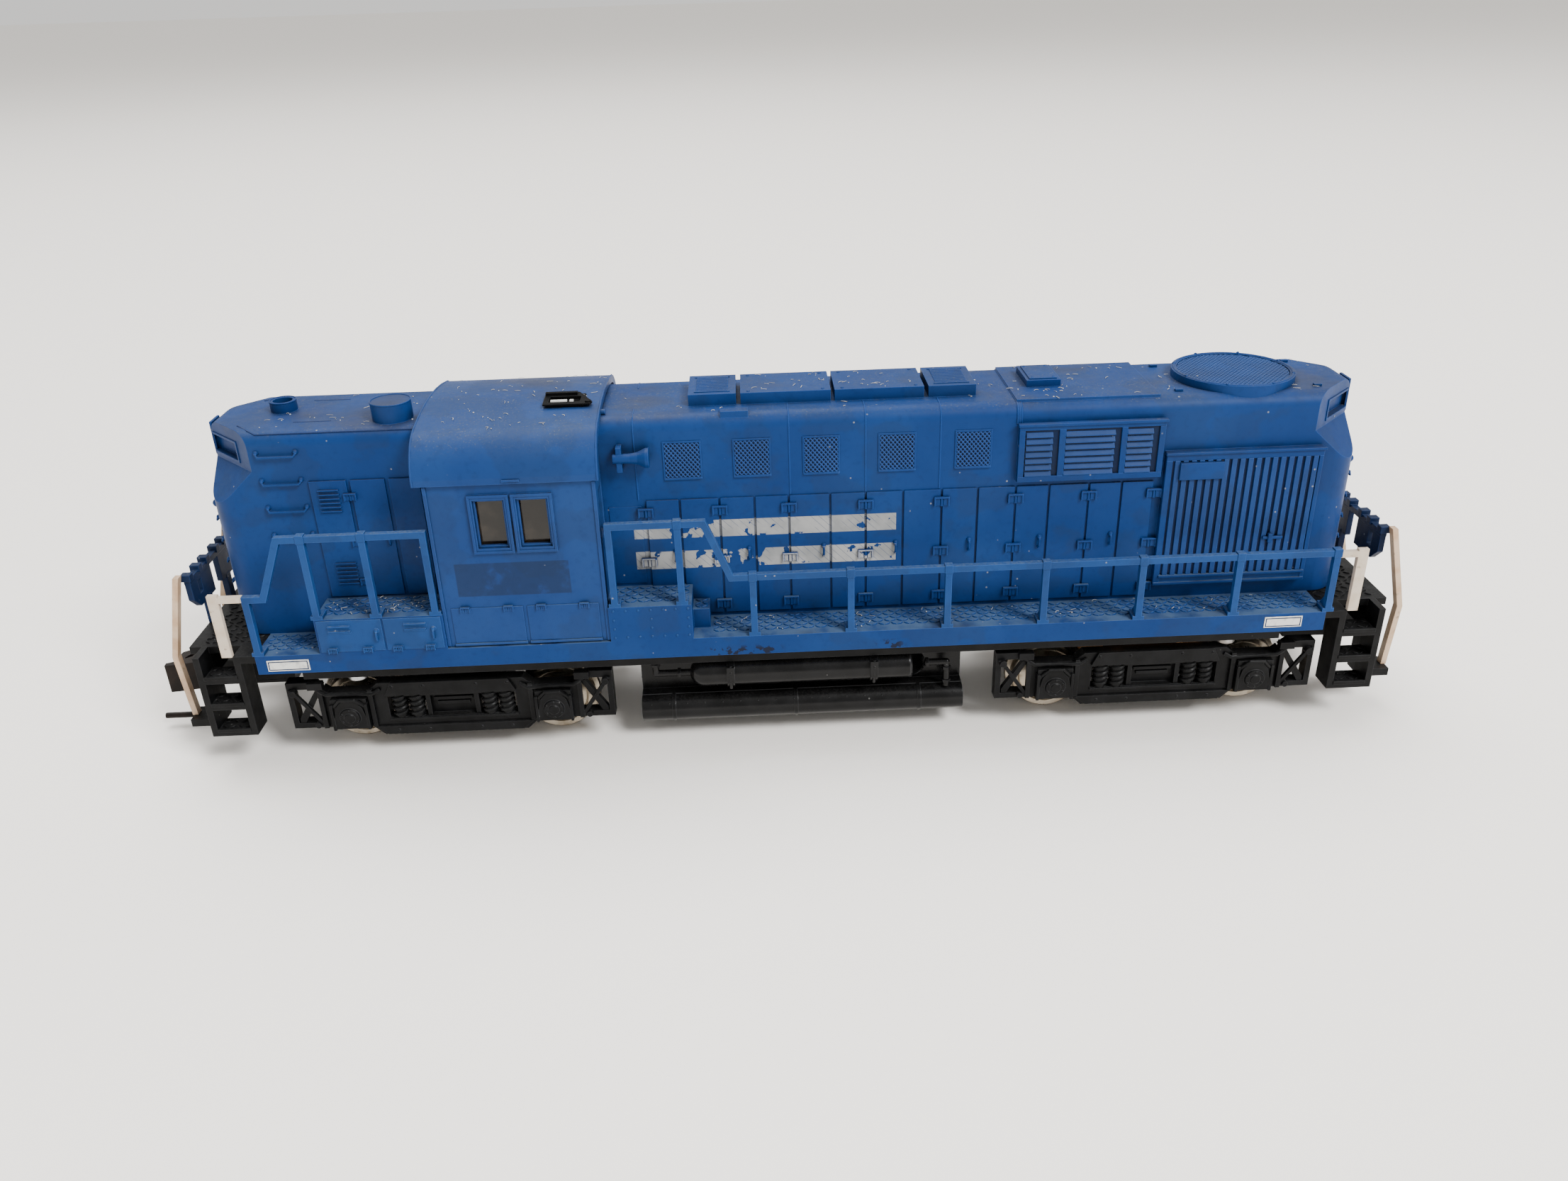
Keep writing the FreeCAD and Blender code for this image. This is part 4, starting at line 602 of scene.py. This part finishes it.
def louvre_panels():
    """Three bays of slats in a raised frame, on both sides; a dark plate of painted shade lies
    behind each bay and shows in the gap at its end.
    """
    frames, slats, shade = Shape(), Shape(), Shape()
    count, base = 7, 42.9
    pitch = (50.2 - base) / count
    for side in SIDES:
        frame_strips(frames, (34.9, 57.2), (42.0, 51.2), side, 10.5, 11.05, 0.9)
        frames.slabs(side, (34.7, 57.4, 10.5, 11.35, 50.95, 51.4),
                     (41.0, 42.0, 10.5, 11.03, 42.85, 50.35),
                     (50.5, 51.4, 10.5, 11.03, 42.85, 50.35))
        for low, high in ((36.0, 41.0), (42.0, 50.5), (51.4, 56.3)):
            # Painted shade: a dark plate behind the bay, seen between the slats and in the gap at
            # the bay's end.
            shade.slabs(side, (low - 0.15, high + 0.15, 10.5, 10.73, 42.85, 50.35))
            for i in range(count):
                z = base + i * pitch
                outline = [(side * 10.70, z + 0.1), (side * 11.10, z),
                           (side * 11.12, z + 0.16), (side * 10.72, z + pitch * 0.72)]
                slats.prism(outline, "x", low, high - 0.95)
    frames.piece("louvre_frames", bevel=0.08)
    # Painted highlight: the slats take the lighter cab blue instead of the hood's own blue, for the
    # light their faces catch.
    slats.piece("louvre_slats", "cab_blue", bevel=0.02, segments=1)
    shade.piece("louvre_shadow_plates", "railing_blue", bevel=0)


RADIATOR_FRAME = [
    (57.8, 82.2, 10.7, 11.15, 44.5, 45.6), (57.6, 82.4, 10.7, 11.45, 45.5, 45.95),
    (57.8, 58.8, 10.7, 11.15, 23.5, 44.6), (81.5, 82.2, 10.7, 11.15, 23.5, 44.6),
    (58.5, 82.0, 10.7, 11.45, 24.75, 25.2), (57.8, 82.2, 10.7, 11.3, 23.4, 23.9),
    (57.8, 82.2, 10.7, 11.0, 23.8, 24.8), (59.9, 66.8, 10.7, 11.6, 41.5, 44.3),
    (74.4, 77.6, 11.1, 11.55, 30.9, 31.4), (75.2, 75.9, 11.1, 11.75, 30.4, 31.9)]


def radiator_shutters():
    """Upright shutter slats in a frame, over a dark plate of painted shade, with a plate, a latch
    and two ledges below.
    """
    frames, slats, shade = Shape(), Shape(), Shape()
    count = 18
    pitch = (81.6 - 58.9) / count
    for side in SIDES:
        frames.slabs(side, *RADIATOR_FRAME)
        # Painted shade: a dark blue plate behind the slats stands for the shadow between them.
        shade.slabs(side, (58.7, 81.6, 10.7, 10.91, 25.1, 44.6))
        for i in range(count):
            middle = 58.9 + (i + 0.5) * pitch
            outline = [(middle - 0.44, side * 10.88), (middle - 0.36, side * 11.22),
                       (middle + 0.36, side * 11.22), (middle + 0.44, side * 10.88)]
            slats.prism(outline, "z", 25.1, 44.6)
    frames.piece("radiator_frames", bevel=0.12)
    # Painted highlight: the shutter slats take the lighter cab blue instead of the hood's own blue,
    # for the light they catch.
    slats.piece("radiator_slats", "cab_blue", bevel=0.03, segments=1)
    shade.piece("radiator_shadow_plates", "shadow_blue", bevel=0)


# ---- short hood

def grab_iron(shape, start, end, normal, stand=0.5, radius=0.17):
    """Bent rod that hangs a little below the bolt heads at its feet."""
    start, end, normal = Vector(start), Vector(end), Vector(normal)
    out = normal * stand
    sag = Vector((0, 0, -0.45 if abs(start.z - end.z) < 0.01 else 0.0))
    shape.tube([start - normal * 0.1, start + out * 0.7, start + (end - start) * 0.05 + out + sag,
                start + (end - start) * 0.95 + out + sag, end + out * 0.7, end - normal * 0.1],
               radius, sides=8)
    for foot in (start, end):
        shape.dome(foot + Vector((0, 0, 0.15)), normal, radius * 2.1, 0.5)


def small_louvres(shape, x, z, wall, side, count):
    """A short ladder of pressed slots, each a lip with a flat top."""
    pitch = (z[1] - z[0]) / count
    for i in range(count):
        top = z[1] - i * pitch
        outline = [(side * (wall - 0.05), top), (side * (wall + 0.34), top - 0.06),
                   (side * (wall + 0.36), top - 0.2), (side * (wall - 0.05), top - pitch * 0.68)]
        shape.prism(outline, "x", x[0], x[1])


def short_hood():
    """Doors, pressed louvres and grab irons on the short hood's sides."""
    doors, fittings, louvres = Shape(), Shape(), Shape()
    for side in SIDES:
        for low, high in ((-72.6, -67.0), (-66.4, -61.2), (-60.6, -56.0)):
            doors.slabs(side, (low, high, 9.8, 10.36, 27.0, 46.4))
        for x, z in (((-71.4, -68.3), (41.0, 45.1)), ((-71.0, -67.8), (28.8, 32.9))):
            small_louvres(louvres, x, z, 10.36, side, 6)
        for z in (29.5, 36.2, 43.8):
            hinge(fittings, -66.7, z, 10.3, side, 0.8)
        latch(fittings, -61.9, 36.5, 10.36, side)
        for z in (51.0, 46.6, 42.2, 37.7):
            grab_iron(fittings, (-79.5, side * 10.0, z), (-73.6, side * 10.0, z), (0, side, 0),
                      0.6, 0.2)
    doors.piece("short_hood_doors", bevel=0.07)
    louvres.piece("short_hood_louvres", bevel=0.02, segments=1)
    fittings.piece("short_hood_fittings", bevel=0.03, segments=1)


def hood_ends():
    """End doors, headlight bezels, class lamps and grab irons at both ends."""
    doors, fittings, lenses = Shape(), Shape(), Shape()
    for end in SIDES:
        def out(depth):
            """x at a depth in front of the end face."""
            return end * (88.8 + depth)

        doors.box((out(-0.2), out(0.16)), (-3.4, 3.4), (21.2, 42.6))
        doors.box((out(-0.2), out(0.22)), (-1.7, 1.7), (48.4, 53.6))
        for z in (24.5, 33.0, 40.5):
            for way in SIDES:
                fittings.box((out(0), out(0.35)), (2.6 * way, 3.9 * way), (z - 0.6, z + 0.6))
            fittings.rod((out(0.3), 3.4, z - 0.8), (out(0.3), 3.4, z + 0.8), 0.26)
        handle = [(out(0.1), -2.6, 34.2), (out(0.5), -2.6, 33.4), (out(0.5), -2.6, 31.8)]
        fittings.tube(handle, 0.16)
        for i in range(5):
            z = 39.6 - i * 3.6
            grab_iron(fittings, (out(0), -6.3, z), (out(0), -4.2, z), (end, 0, 0), 0.55)
        for z in (49.8, 52.2):
            fittings.tube(circle((out(0.3), 0, z), LEFT, UP, 1.02, 24), 0.16, sides=6)
            lenses.dome((end * 89.1, 0, z), (end, 0, 0), 0.84, 0.3, 16)
        for across in SIDES:
            fittings.dome((out(-0.1), across * 5.9, 41.9), (end, 0, 0), 0.7, 0.8, 14)
    doors.piece("hood_end_doors", bevel=0.08)
    fittings.piece("hood_end_fittings", bevel=0)
    lenses.piece("headlight_glasses", "lens", bevel=0)


def number_boards():
    """Raised borders round the number-board recesses, and black plates of painted shade at their
    inner ends.
    """
    borders, cavity_shade = Shape(), Shape()
    for end in SIDES:
        for across in SIDES:
            normal = Vector((end, across, 0)).normalized()
            along = Vector((end, -across, 0)).normalized()
            middle = Vector((end * 84.75, across * 5.95, 0))
            for shape, a, z, out in ((borders, (-2.5, 5.4), (51.95, 52.3), (-0.1, 0.16)),
                                     (borders, (-2.5, 5.4), (48.85, 49.25), (-0.1, 0.16)),
                                     (borders, (-2.5, -2.1), (49.2, 52.0), (-0.1, 0.16)),
                                     (cavity_shade, (-1.98, -0.9), (49.27, 51.93), (-0.95, -0.8))):
                corners = ((a[0], z[0]), (a[1], z[0]), (a[1], z[1]), (a[0], z[1]))
                points = [middle + along * b + Vector((0, 0, height)) for b, height in corners]
                shape.stack([[point + normal * depth for point in points] for depth in out])
    borders.piece("number_board_borders", bevel=0.06)
    # Painted shade: black plates near the recesses' inner ends stand for the darkness deep in the
    # recess.
    cavity_shade.piece("number_board_shadow_plates", "soot_black", bevel=0)


# ---- roof

FAN_X = 70.55


def roof_fittings():
    """Hatch louvres, lifting eyes, box lid, stack rims and the fan's woven top."""
    parts, shade, mesh = Shape(), Shape(), Shape()
    for low, high in ((-14.95, -7.65), (21.85, 29.15)):
        for side in SIDES:
            parts.slabs(side, (low + 0.9, high - 0.9, 3.6, 3.9, 55.95, 56.14))
        for i in range(9):
            y = -3.2 + i * 0.8
            parts.prism([(y - 0.3, 55.97), (y + 0.24, 55.97), (y + 0.12, 56.2), (y - 0.06, 56.2)],
                        "x", low + 1.2, high - 1.2)
    for low, high in ((-6.95, 6.85), (7.45, 21.15)):
        for x in (low + 1.2, high - 1.2):
            for y in (-4.1, 4.1):
                parts.dome((x, y, 56.0), UP, 0.28, 0.16)
    parts.box((37.9, 42.2), (-2.3, 4.7), (55.55, 55.8))
    for x, y in ((38.4, -1.8), (41.7, -1.8), (38.4, 4.2), (41.7, 4.2)):
        parts.dome((x, y, 55.8), UP, 0.22, 0.14)
    for x, y, radius, top in ((-78.1, 1.0, 1.98, 55.8), (-59.8, -5.0, 3.0, 57.0)):
        parts.tube(circle((x, y, top), AHEAD, LEFT, radius, 30), 0.14, sides=6)
    for x in (60.0, 81.4):
        for y in (-6.5, 6.5):
            parts.box((x - 0.6, x + 0.6), (y - 0.35, y + 0.35), (54.1, 54.6))
    weave(mesh, (FAN_X, 0.0), 8.5, 0.55, 50,
          lambda a, b: hypot(a - FAN_X, b) < 8.45, lambda a, b: (a, b, 55.1), UP, 0.3, 0.14)
    parts.tube(circle((FAN_X, 0, 55.32), AHEAD, LEFT, 8.92, 60), 0.24, sides=8)
    for i in range(8):
        angle = radians(45 * i + 20)
        parts.dome((FAN_X + 8.95 * cos(angle), 8.95 * sin(angle), 55.5), UP, 0.26, 0.22)
    # Painted shade: dark blue lines along the short hood's roof and a thin dark strip on it stand
    # for the shadow in grooves.
    for side in SIDES:
        groove = ((-55.4, 9.2, 53.68), (-79.4, 9.2, 53.68), (-80.6, 8.5, 54.07), (-82.9, 6.1, 54.2))
        shade.tube([(x, side * y, z) for x, y, z in groove], 0.13, sides=6)
        shade.bar((-74.8, side * 5.3, 54.19), (-69.1, side * 5.3, 54.19), 0.3, UP, 0.05)
    parts.piece("roof_fittings", bevel=0.04, segments=1)
    mesh.piece("fan_mesh", "cab_blue", bevel=0)
    shade.piece("roof_groove_shadow_lines", "shadow_blue", bevel=0)
    strip = Shape()
    for low, high in ((-35.9, -33.4), (-33.0, -32.4)):
        strip.box((low, high), (-4.6, -3.9), (55.45, 55.75))
    strip.piece("roof_bracket_strip", "plate", bevel=0.04, segments=1)


# ---- walkway, cab

def tread_marks(shape, x, y, z, pitch=1.0):
    """Raised bars of tread plate, leaning left and right by turns."""
    y = sorted(y)
    columns = max(int((x[1] - x[0]) / pitch), 1)
    rows = max(int((y[1] - y[0]) / pitch), 1)
    step_x = (x[1] - x[0]) / columns
    step_y = (y[1] - y[0]) / rows
    for i in range(columns):
        for j in range(rows):
            middle = Vector((x[0] + (i + 0.5) * step_x, y[0] + (j + 0.5) * step_y, z))
            lean = radians(35 if (i + j) % 2 else -35)
            along = Vector((cos(lean), sin(lean), 0))
            across = Vector((-along.y, along.x, 0))
            rings = []
            for long, wide, height in ((0.6, 0.24, -0.05), (0.56, 0.21, 0.08), (0.34, 0.07, 0.2)):
                rings.append([middle + along * a * long + across * b * wide + Vector((0, 0, height))
                              for a, b in ((-1, 0), (0, -1), (1, 0), (0, 1))])
            shape.stack(rings)


def walkways():
    """Tread plate along the hoods, on the boxes beside the cab and on the small step."""
    marks = Shape()
    for side in SIDES:
        for low, high, edge, level in ((-12.8, 83.3, 15.9, 20.7), (-83.2, -73.9, 15.9, 20.7),
                                       (-73.2, -54.4, 16.2, 26.6), (-28.3, -16.2, 16.2, 26.6),
                                       (-15.6, -13.4, 13.7, 24.0)):
            tread_marks(marks, (low, high), (side * 10.6, side * edge), level)
    marks.piece("walkway_tread", "tread_blue", bevel=0)
    deck = Shape()
    for end in SIDES:
        tread_marks(deck, sorted((end * 84.2, end * 93.8)), (-12.4, 12.4), 20.5, 1.3)
    deck.piece("platform_tread", "black_plastic", bevel=0)


def side_boxes():
    """Battery-box doors, riveted cab-side box and the posts' angle feet."""
    parts = Shape()
    face = 17.5
    for side in SIDES:
        for low, high in ((-73.3, -63.4), (-63.1, -54.3)):
            parts.slabs(side, (low, high, 17.3, face + 0.14, 21.0, 26.4))
        for x in (-71.6, -60.0):
            small_louvres(parts, (x, x + 3.4), (23.9, 25.6), face + 0.14, side, 2)
        for x in (-71.4, -66.0, -61.4, -56.4):
            hinge(parts, x, 21.3, face + 0.1, side, 0.6)
        for x in (-64.3, -55.6):
            latch(parts, x, 23.6, face + 0.1, side)
        rivets = [(-27.9 + i * 1.92, z) for i in range(7) for z in (21.4, 26.0)]
        rivets += [(x, z) for x in (-27.9, -22.1, -16.4) for z in (22.9, 24.4)]
        for x, z in rivets:
            parts.dome((x, side * face, z), (0, side, 0), 0.2, 0.15)
        for i in range(7):
            x = 84.0 - 15.04 * i
            parts.slabs(side, (x - 0.6, x + 0.6, 14.6, 17.2, 20.7, 21.3))
            parts.prism([(side * 14.9, 21.2), (side * 16.6, 21.2), (side * 16.6, 23.4)],
                        "x", x - 0.35, x + 0.35)
            parts.slabs(side, (x - 0.62, x + 0.62, 16.38, 17.62, 30.15, 31.5))
        for x in (-73.0, -64.0, -17.2):
            parts.slabs(side, (x - 0.55, x + 0.55, 14.6, 17.2, 26.6, 27.0),
                        (x - 0.62, x + 0.62, 16.38, 17.62, 39.35, 40.7))
    parts.piece("side_box_fittings", "rail_blue", bevel=0.05, segments=1)


# Half of the cab roof's section, as distance from the middle plane and height.
ROOF_CURVE = [(17.7, 47.7), (17.7, 48.6), (17.08, 50.61), (15.91, 52.36), (14.29, 53.69),
              (12.35, 54.5), (8.3, 55.22), (4.2, 55.65), (0.0, 55.8)]


def cab_fittings():
    """Lower hatches, corner strips, rolled roof edges and sash bars of the cab."""
    parts = Shape()
    face = 17.0
    for side in SIDES:
        for low, high in ((-52.6, -41.6), (-41.0, -30.0)):
            parts.slabs(side, (low, high, face - 0.1, face + 0.16, 21.4, 27.4),
                        (low - 0.1, high + 0.1, face - 0.1, face + 0.34, 20.95, 21.35))
            for x in (low + 2.2, high - 2.2):
                hinge(parts, x, 27.2, face + 0.05, side, 0.62)
        parts.slabs(side, (-53.95, -53.4, 16.8, 17.22, 20.9, 47.4),
                    (-29.2, -28.65, 16.8, 17.22, 20.9, 47.4))
        for low, high in ((-46.95, -42.25), (-40.55, -35.85)):
            frame_strips(parts, (low, high), (37.3, 45.1), side, 16.3, 16.9, 0.35)
            frame_strips(parts, (low - 0.7, high + 0.7), (36.5, 45.9), side, 17.2, 17.5, 0.4)
        parts.slabs(side, (-42.1, -39.5, 17.5, 17.95, 48.0, 48.35))
    for x in (-55.1, -28.2):
        line = [(x, -y, z) for y, z in ROOF_CURVE] + [(x, y, z) for y, z in ROOF_CURVE[-2::-1]]
        parts.tube(line, 0.17, sides=6)
    parts.rod((-28.3, -7.2, 54.6), (-27.4, -7.2, 54.6), 0.45, 10)
    parts.piece("cab_fittings", "cab_blue", bevel=0.05, segments=1)


def sill_plates():
    """Plain white plates on the sills."""
    plates, borders = Shape(), Shape()
    for side in SIDES:
        for low, high, base, top in ((-82.1, -75.6, 18.0, 19.9), (74.1, 80.1, 18.3, 20.2)):
            plates.slabs(side, (low, high, 17.45, 17.6, base, top))
            frame_strips(borders, (low + 0.2, high - 0.2), (base + 0.2, top - 0.2), side,
                         17.5, 17.63, 0.14)
    plates.piece("sill_plates", "plate", bevel=0.04, segments=1)
    borders.piece("sill_plate_borders", "railing_blue", bevel=0)


# ---- trucks

def coil(shape, x, y, low, high, radius, wire, turns):
    """Coil spring about an upright axis."""
    points = []
    steps = turns * 14
    for i in range(steps + 1):
        angle = 2 * pi * i / 14
        points.append((x + radius * cos(angle), y + radius * sin(angle),
                       low + (high - low) * i / steps))
    shape.tube(points, wire, sides=6)


JOURNAL_Z = 7.9


def journal_cover(shape, x, side):
    """Bearing cover with lid, bolts and a rib over it."""
    outline = [(x - 2.5, 5.7), (x + 2.5, 5.7), (x + 2.7, 7.2), (x + 2.1, 9.6), (x + 1.1, 10.8),
               (x - 1.1, 10.8), (x - 2.1, 9.6), (x - 2.7, 7.2)]
    shape.prism(outline, "y", side * 15.2, side * 15.7)
    for near, far, *sizes in ((15.6, 16.05, 1.75, 20, 1.55), (16.0, 16.25, 0.95, 16, 0.75)):
        shape.rod((x, side * near, JOURNAL_Z), (x, side * far, JOURNAL_Z), *sizes)
    for i in range(6):
        angle = radians(60 * i + 30)
        spot = (x + 1.35 * cos(angle), side * 16.05, JOURNAL_Z + 1.35 * sin(angle))
        shape.dome(spot, (0, side, 0), 0.22, 0.18, 6)
    shape.tube([(x - 2.4, side * 15.4, 9.8), (x - 1.2, side * 15.9, 11.2),
                (x + 1.2, side * 15.9, 11.2), (x + 2.4, side * 15.4, 9.8)], 0.32)
    for way in SIDES:
        shape.slabs(side, (x + way * 2.55, x + way * 3.0, 14.4, 15.8, 5.5, 10.2))


def truck_detail(body, middle):
    """Springs, bearing covers, brake gear and hangers on both side frames."""
    frames, springs = Shape(), Shape()
    for side in SIDES:
        def plate(spots, near, far):
            frames.prism(spots, "y", side * near, side * far)

        def wedge(reach, z, top_reach, top, far):
            plate([(middle - reach, z), (middle + reach, z), (middle + top_reach, top),
                   (middle - top_reach, top)], 14.3, far)

        for end in SIDES:
            def at(x):
                return middle + end * x

            for x in (5.9, 8.6):
                coil(springs, at(x), side * 13.8, 6.9, 10.7, 1.05, 0.27, 4)
            journal_cover(frames, at(16.35), side)
            for x in (12.4, 20.3):
                frames.slabs(side, (at(x), at(x + 0.75), 14.5, 15.1, 5.6, 12.4))
            plate([(at(20.7), 12.3), (at(21.6), 12.3), (at(24.9), 7.2), (at(24.9), 6.0),
                   (at(24.3), 6.0)], 13.4, 14.4)
            plate([(at(25.0), 12.8), (at(25.7), 12.8), (at(21.0), 5.8), (at(20.3), 5.8)],
                  14.3, 14.9)
            frames.slabs(side, (at(20.0), at(22.4), 14.0, 15.3, 12.9, 14.1))
            for x, far, z, radius in ((24.9, 15.35, 12.3, 0.6), (21.9, 15.2, 6.2, 0.5)):
                frames.rod((at(x), side * 14.3, z), (at(x), side * far, z), radius)
            frames.tube([(at(11.2), side * 14.6, 12.3), (at(12.4), side * 15.0, 11.7),
                         (at(19.8), side * 15.0, 11.9), (at(21.4), side * 14.7, 13.0)], 0.36)
        wedge(10.5, 11.2, 9.4, 13.5, 15.05)
        frames.slabs(side, (middle - 10.4, middle + 10.4, 14.3, 14.8, 6.35, 6.75))
        wedge(11.0, 3.9, 12.8, 5.4, 14.95)
        for i in range(3):
            reach = 3.6 - i * 0.5
            z = 10.2 - i * 0.85
            springs.slabs(side, (middle - reach, middle + reach, 13.2, 13.75, z, z + 0.5))
        for x in (-3.9, 3.9):
            springs.slabs(side, (middle + x - 0.35, middle + x + 0.35, 13.2, 14.3, 6.8, 10.7))
        for x in (-9.2, -4.2, 4.2, 9.2):
            frames.dome((middle + x, side * 15.05, 12.8), (0, side, 0), 0.28, 0.2)
            frames.dome((middle + x, side * 14.95, 4.7), (0, side, 0), 0.24, 0.18)
    frames.piece(f"{body}_frame_detail", "black_plastic", body, bevel=0.06)
    springs.piece(f"{body}_springs", "black_plastic", body, bevel=0)


def tank_detail():
    """Rivets, seams and end caps of the tank, and pipe bends of the reservoirs."""
    parts = Shape()
    for side in SIDES:
        for i in range(18):
            x = -23.6 + i * 2.9
            parts.dome((x, side * 14.2, 6.9), (0, side, 0.5), 0.17, 0.12, 8)
        for x in (-25.1, 27.3):
            parts.rod((x - 0.1, side * 12.4, 5.5), (x + 0.1, side * 12.4, 5.5), 2.1, 20)
        for x in (-10.4, 12.6):
            parts.dome((x, side * 16.2, 13.4), (0, side, 0), 0.34, 0.3)
            strap = ((15.9, 14.5), (16.15, 12.0), (15.3, 10.2))
            parts.tube([(x, side * y, z) for y, z in strap], 0.32)
        y = side * 13.4
        for x, z in ((-22.5, 13.7), (24.6, 8.6), (24.6, 11.0)):
            parts.rod((x, y, z), (x, y, z + 0.5), 0.8, 6)
        for x in (-19.0, 21.2):
            parts.rod((x, y, 12.3), (x + 0.5, y, 12.3), 0.8, 6)
    for end in SIDES:
        x = 1.1 + end * 26.25
        for z in (6.6, 9.5, 12.5):
            for y in (-9.5, -3.2, 3.2, 9.5):
                parts.dome((x, y, z), (end, 0, 0), 0.25, 0.18)
    parts.piece("tank_detail", "gloss_black", bevel=0.03, segments=1)


def pilot_detail():
    """Step-edge lips, pilot rivets, uncoupling levers and brackets."""
    parts = Shape()
    for end in SIDES:
        for side in SIDES:
            for i in range(3):
                z = 6.2 + 4.8 * i
                parts.slabs(side, (end * 87.4, end * 92.6, 16.7, 17.15, z + 0.7, z + 1.3))
                tread_marks(parts, sorted((end * 87.5, end * 92.5)), (side * 13.5, side * 16.6),
                            z + 1.0, 1.2)
            for z in (8.2, 13.0, 18.2):
                parts.dome((end * 93.6, side * 15.1, z), (end, 0, 0), 0.25, 0.2)
        lever = ((95.3, 12.2, 15.6), (95.6, 11.6, 16.6), (95.6, 3.0, 16.6), (96.2, 1.2, 15.0))
        parts.tube([(end * x, -y, z) for x, y, z in lever]
                   + [(end * x, y, z) for x, y, z in lever[::-1]], 0.24)
        for y in (-10.8, -3.6, 3.6, 10.8):
            parts.box((end * 94.4, end * 95.9), (y - 0.3, y + 0.3), (16.2, 17.0))
        for y in (-7.6, -6.0, 6.0, 7.6):
            parts.dome((end * 94.6, y, 18.6), (end, 0, 0), 0.26, 0.2)
    parts.piece("pilot_detail", "black_plastic", bevel=0.04, segments=1)


def lint():
    """Short fibres and crumbs of dust lying on the upper faces."""
    chance = random.Random(7)
    hairs = Shape()
    cab_roof = None
    spots = [((-53, -29), (-13, 13), cab_roof), ((-80, -57), (-8, 8), 54.2),
             ((-25, 34), (-8, 8), 54.2), ((35, 56), (-8, 8), 54.5), ((-5, 20), (-4.5, 4.5), 56.0),
             ((58, 84), (-8, 8), 54.3), ((-12, 82), (-15.8, -10.8), 20.85),
             ((-72, -55), (-16, -10.8), 26.7)]
    for across, deep, level in spots:
        for i in range(46 if level is cab_roof else 26):
            x = chance.uniform(*across)
            y = chance.uniform(*deep)
            z = 55.8 - 0.0084 * y * y if level is cab_roof else level
            way = chance.uniform(0, 2 * pi)
            size = chance.uniform(0.25, 1.1)
            bend = chance.uniform(-0.9, 0.9)
            points = []
            for step in range(5):
                t = step / 4
                heading = way + bend * t
                points.append((x + cos(heading) * size * t, y + sin(heading) * size * t,
                               z + 0.06 + 0.25 * t * (1 - t)))
            hairs.tube(points, chance.uniform(0.025, 0.045), sides=4)
            if i % 3 == 0:
                hairs.dome((x + 0.7, y - 0.4, z), (0.2, 0, 1), chance.uniform(0.07, 0.14), 0.08, 6)
    hairs.piece("dust_lint", "lint", bevel=0)


# ---- stage and camera

FLOOR_REACH = 6.0
FLOOR_COLOUR = (0.96, 0.925, 0.875, 1.0)
SKY_COLOUR = (0.99, 0.975, 0.95, 1.0)
SKY_STRENGTH = 0.9
LAMPS = (("key", (0.75, -0.72, 1.0), 0.45, 29.0), ("sky", (-0.2, 0.45, 1.3), 1.0, 23.0))
FOCAL_LENGTH, SENSOR_WIDTH = 28.253, 36.0
CAMERA_PLACE = (-5.39, -186.04, 112.98)
CAMERA_YAW, CAMERA_PITCH, CAMERA_ROLL = -0.023, -0.465, 0.031


def floor_and_sky():
    """Pale floor under an even pale sky."""
    floor_mesh = bpy.data.meshes.new("floor")
    reach = FLOOR_REACH
    corners = [(-reach, -reach, 0), (reach, -reach, 0), (reach, reach, 0), (-reach, reach, 0)]
    floor_mesh.from_pydata(corners, [], [(0, 1, 2, 3)])
    floor = add_object("floor", floor_mesh)
    surface = Finish("floor", 0.55)
    surface.shader.inputs["Base Color"].default_value = FLOOR_COLOUR
    surface.done(grain=0.0, waves=0.05)
    floor_mesh.materials.append(surface.material)
    world = bpy.data.worlds.new("studio")
    world.use_nodes = True
    background = world.node_tree.nodes["Background"]
    background.inputs["Color"].default_value = SKY_COLOUR
    background.inputs["Strength"].default_value = SKY_STRENGTH
    bpy.context.scene.world = world


def lamps_and_camera():
    """Soft lights aimed at the model and the camera at the photograph's place."""
    for name, spot, size, power in LAMPS:
        lamp = bpy.data.lights.new(name, "AREA")
        lamp.size = size
        lamp.energy = power
        light = add_object(name, lamp)
        light.location = spot
        light.rotation_euler = (-Vector(spot)).to_track_quat("-Z", "Y").to_euler()
    lens = bpy.data.cameras.new("camera")
    lens.lens = FOCAL_LENGTH
    lens.sensor_width = SENSOR_WIDTH
    lens.clip_start = 0.01
    lens.clip_end = 50.0
    camera = add_object("camera", lens)
    turn = (Matrix.Rotation(CAMERA_YAW, 3, "Z") @ Matrix.Rotation(CAMERA_PITCH, 3, "X")
            @ Matrix.Rotation(CAMERA_ROLL, 3, "Y"))
    right, forward, up = turn.col
    view = Matrix((right, up, -forward)).transposed().to_4x4()
    view.translation = Vector(CAMERA_PLACE) * MM
    camera.matrix_world = view
    bpy.context.scene.camera = camera


for build in (hood_grilles, hood_doors, hood_panels, louvre_panels, radiator_shutters, short_hood,
              hood_ends, number_boards, roof_fittings, walkways, side_boxes, cab_fittings,
              sill_plates):
    build()
for truck, truck_middle in TRUCKS.items():
    truck_detail(truck, truck_middle)
for build in (tank_detail, pilot_detail, lint, floor_and_sky, lamps_and_camera):
    build()

bpy.context.view_layer.update()
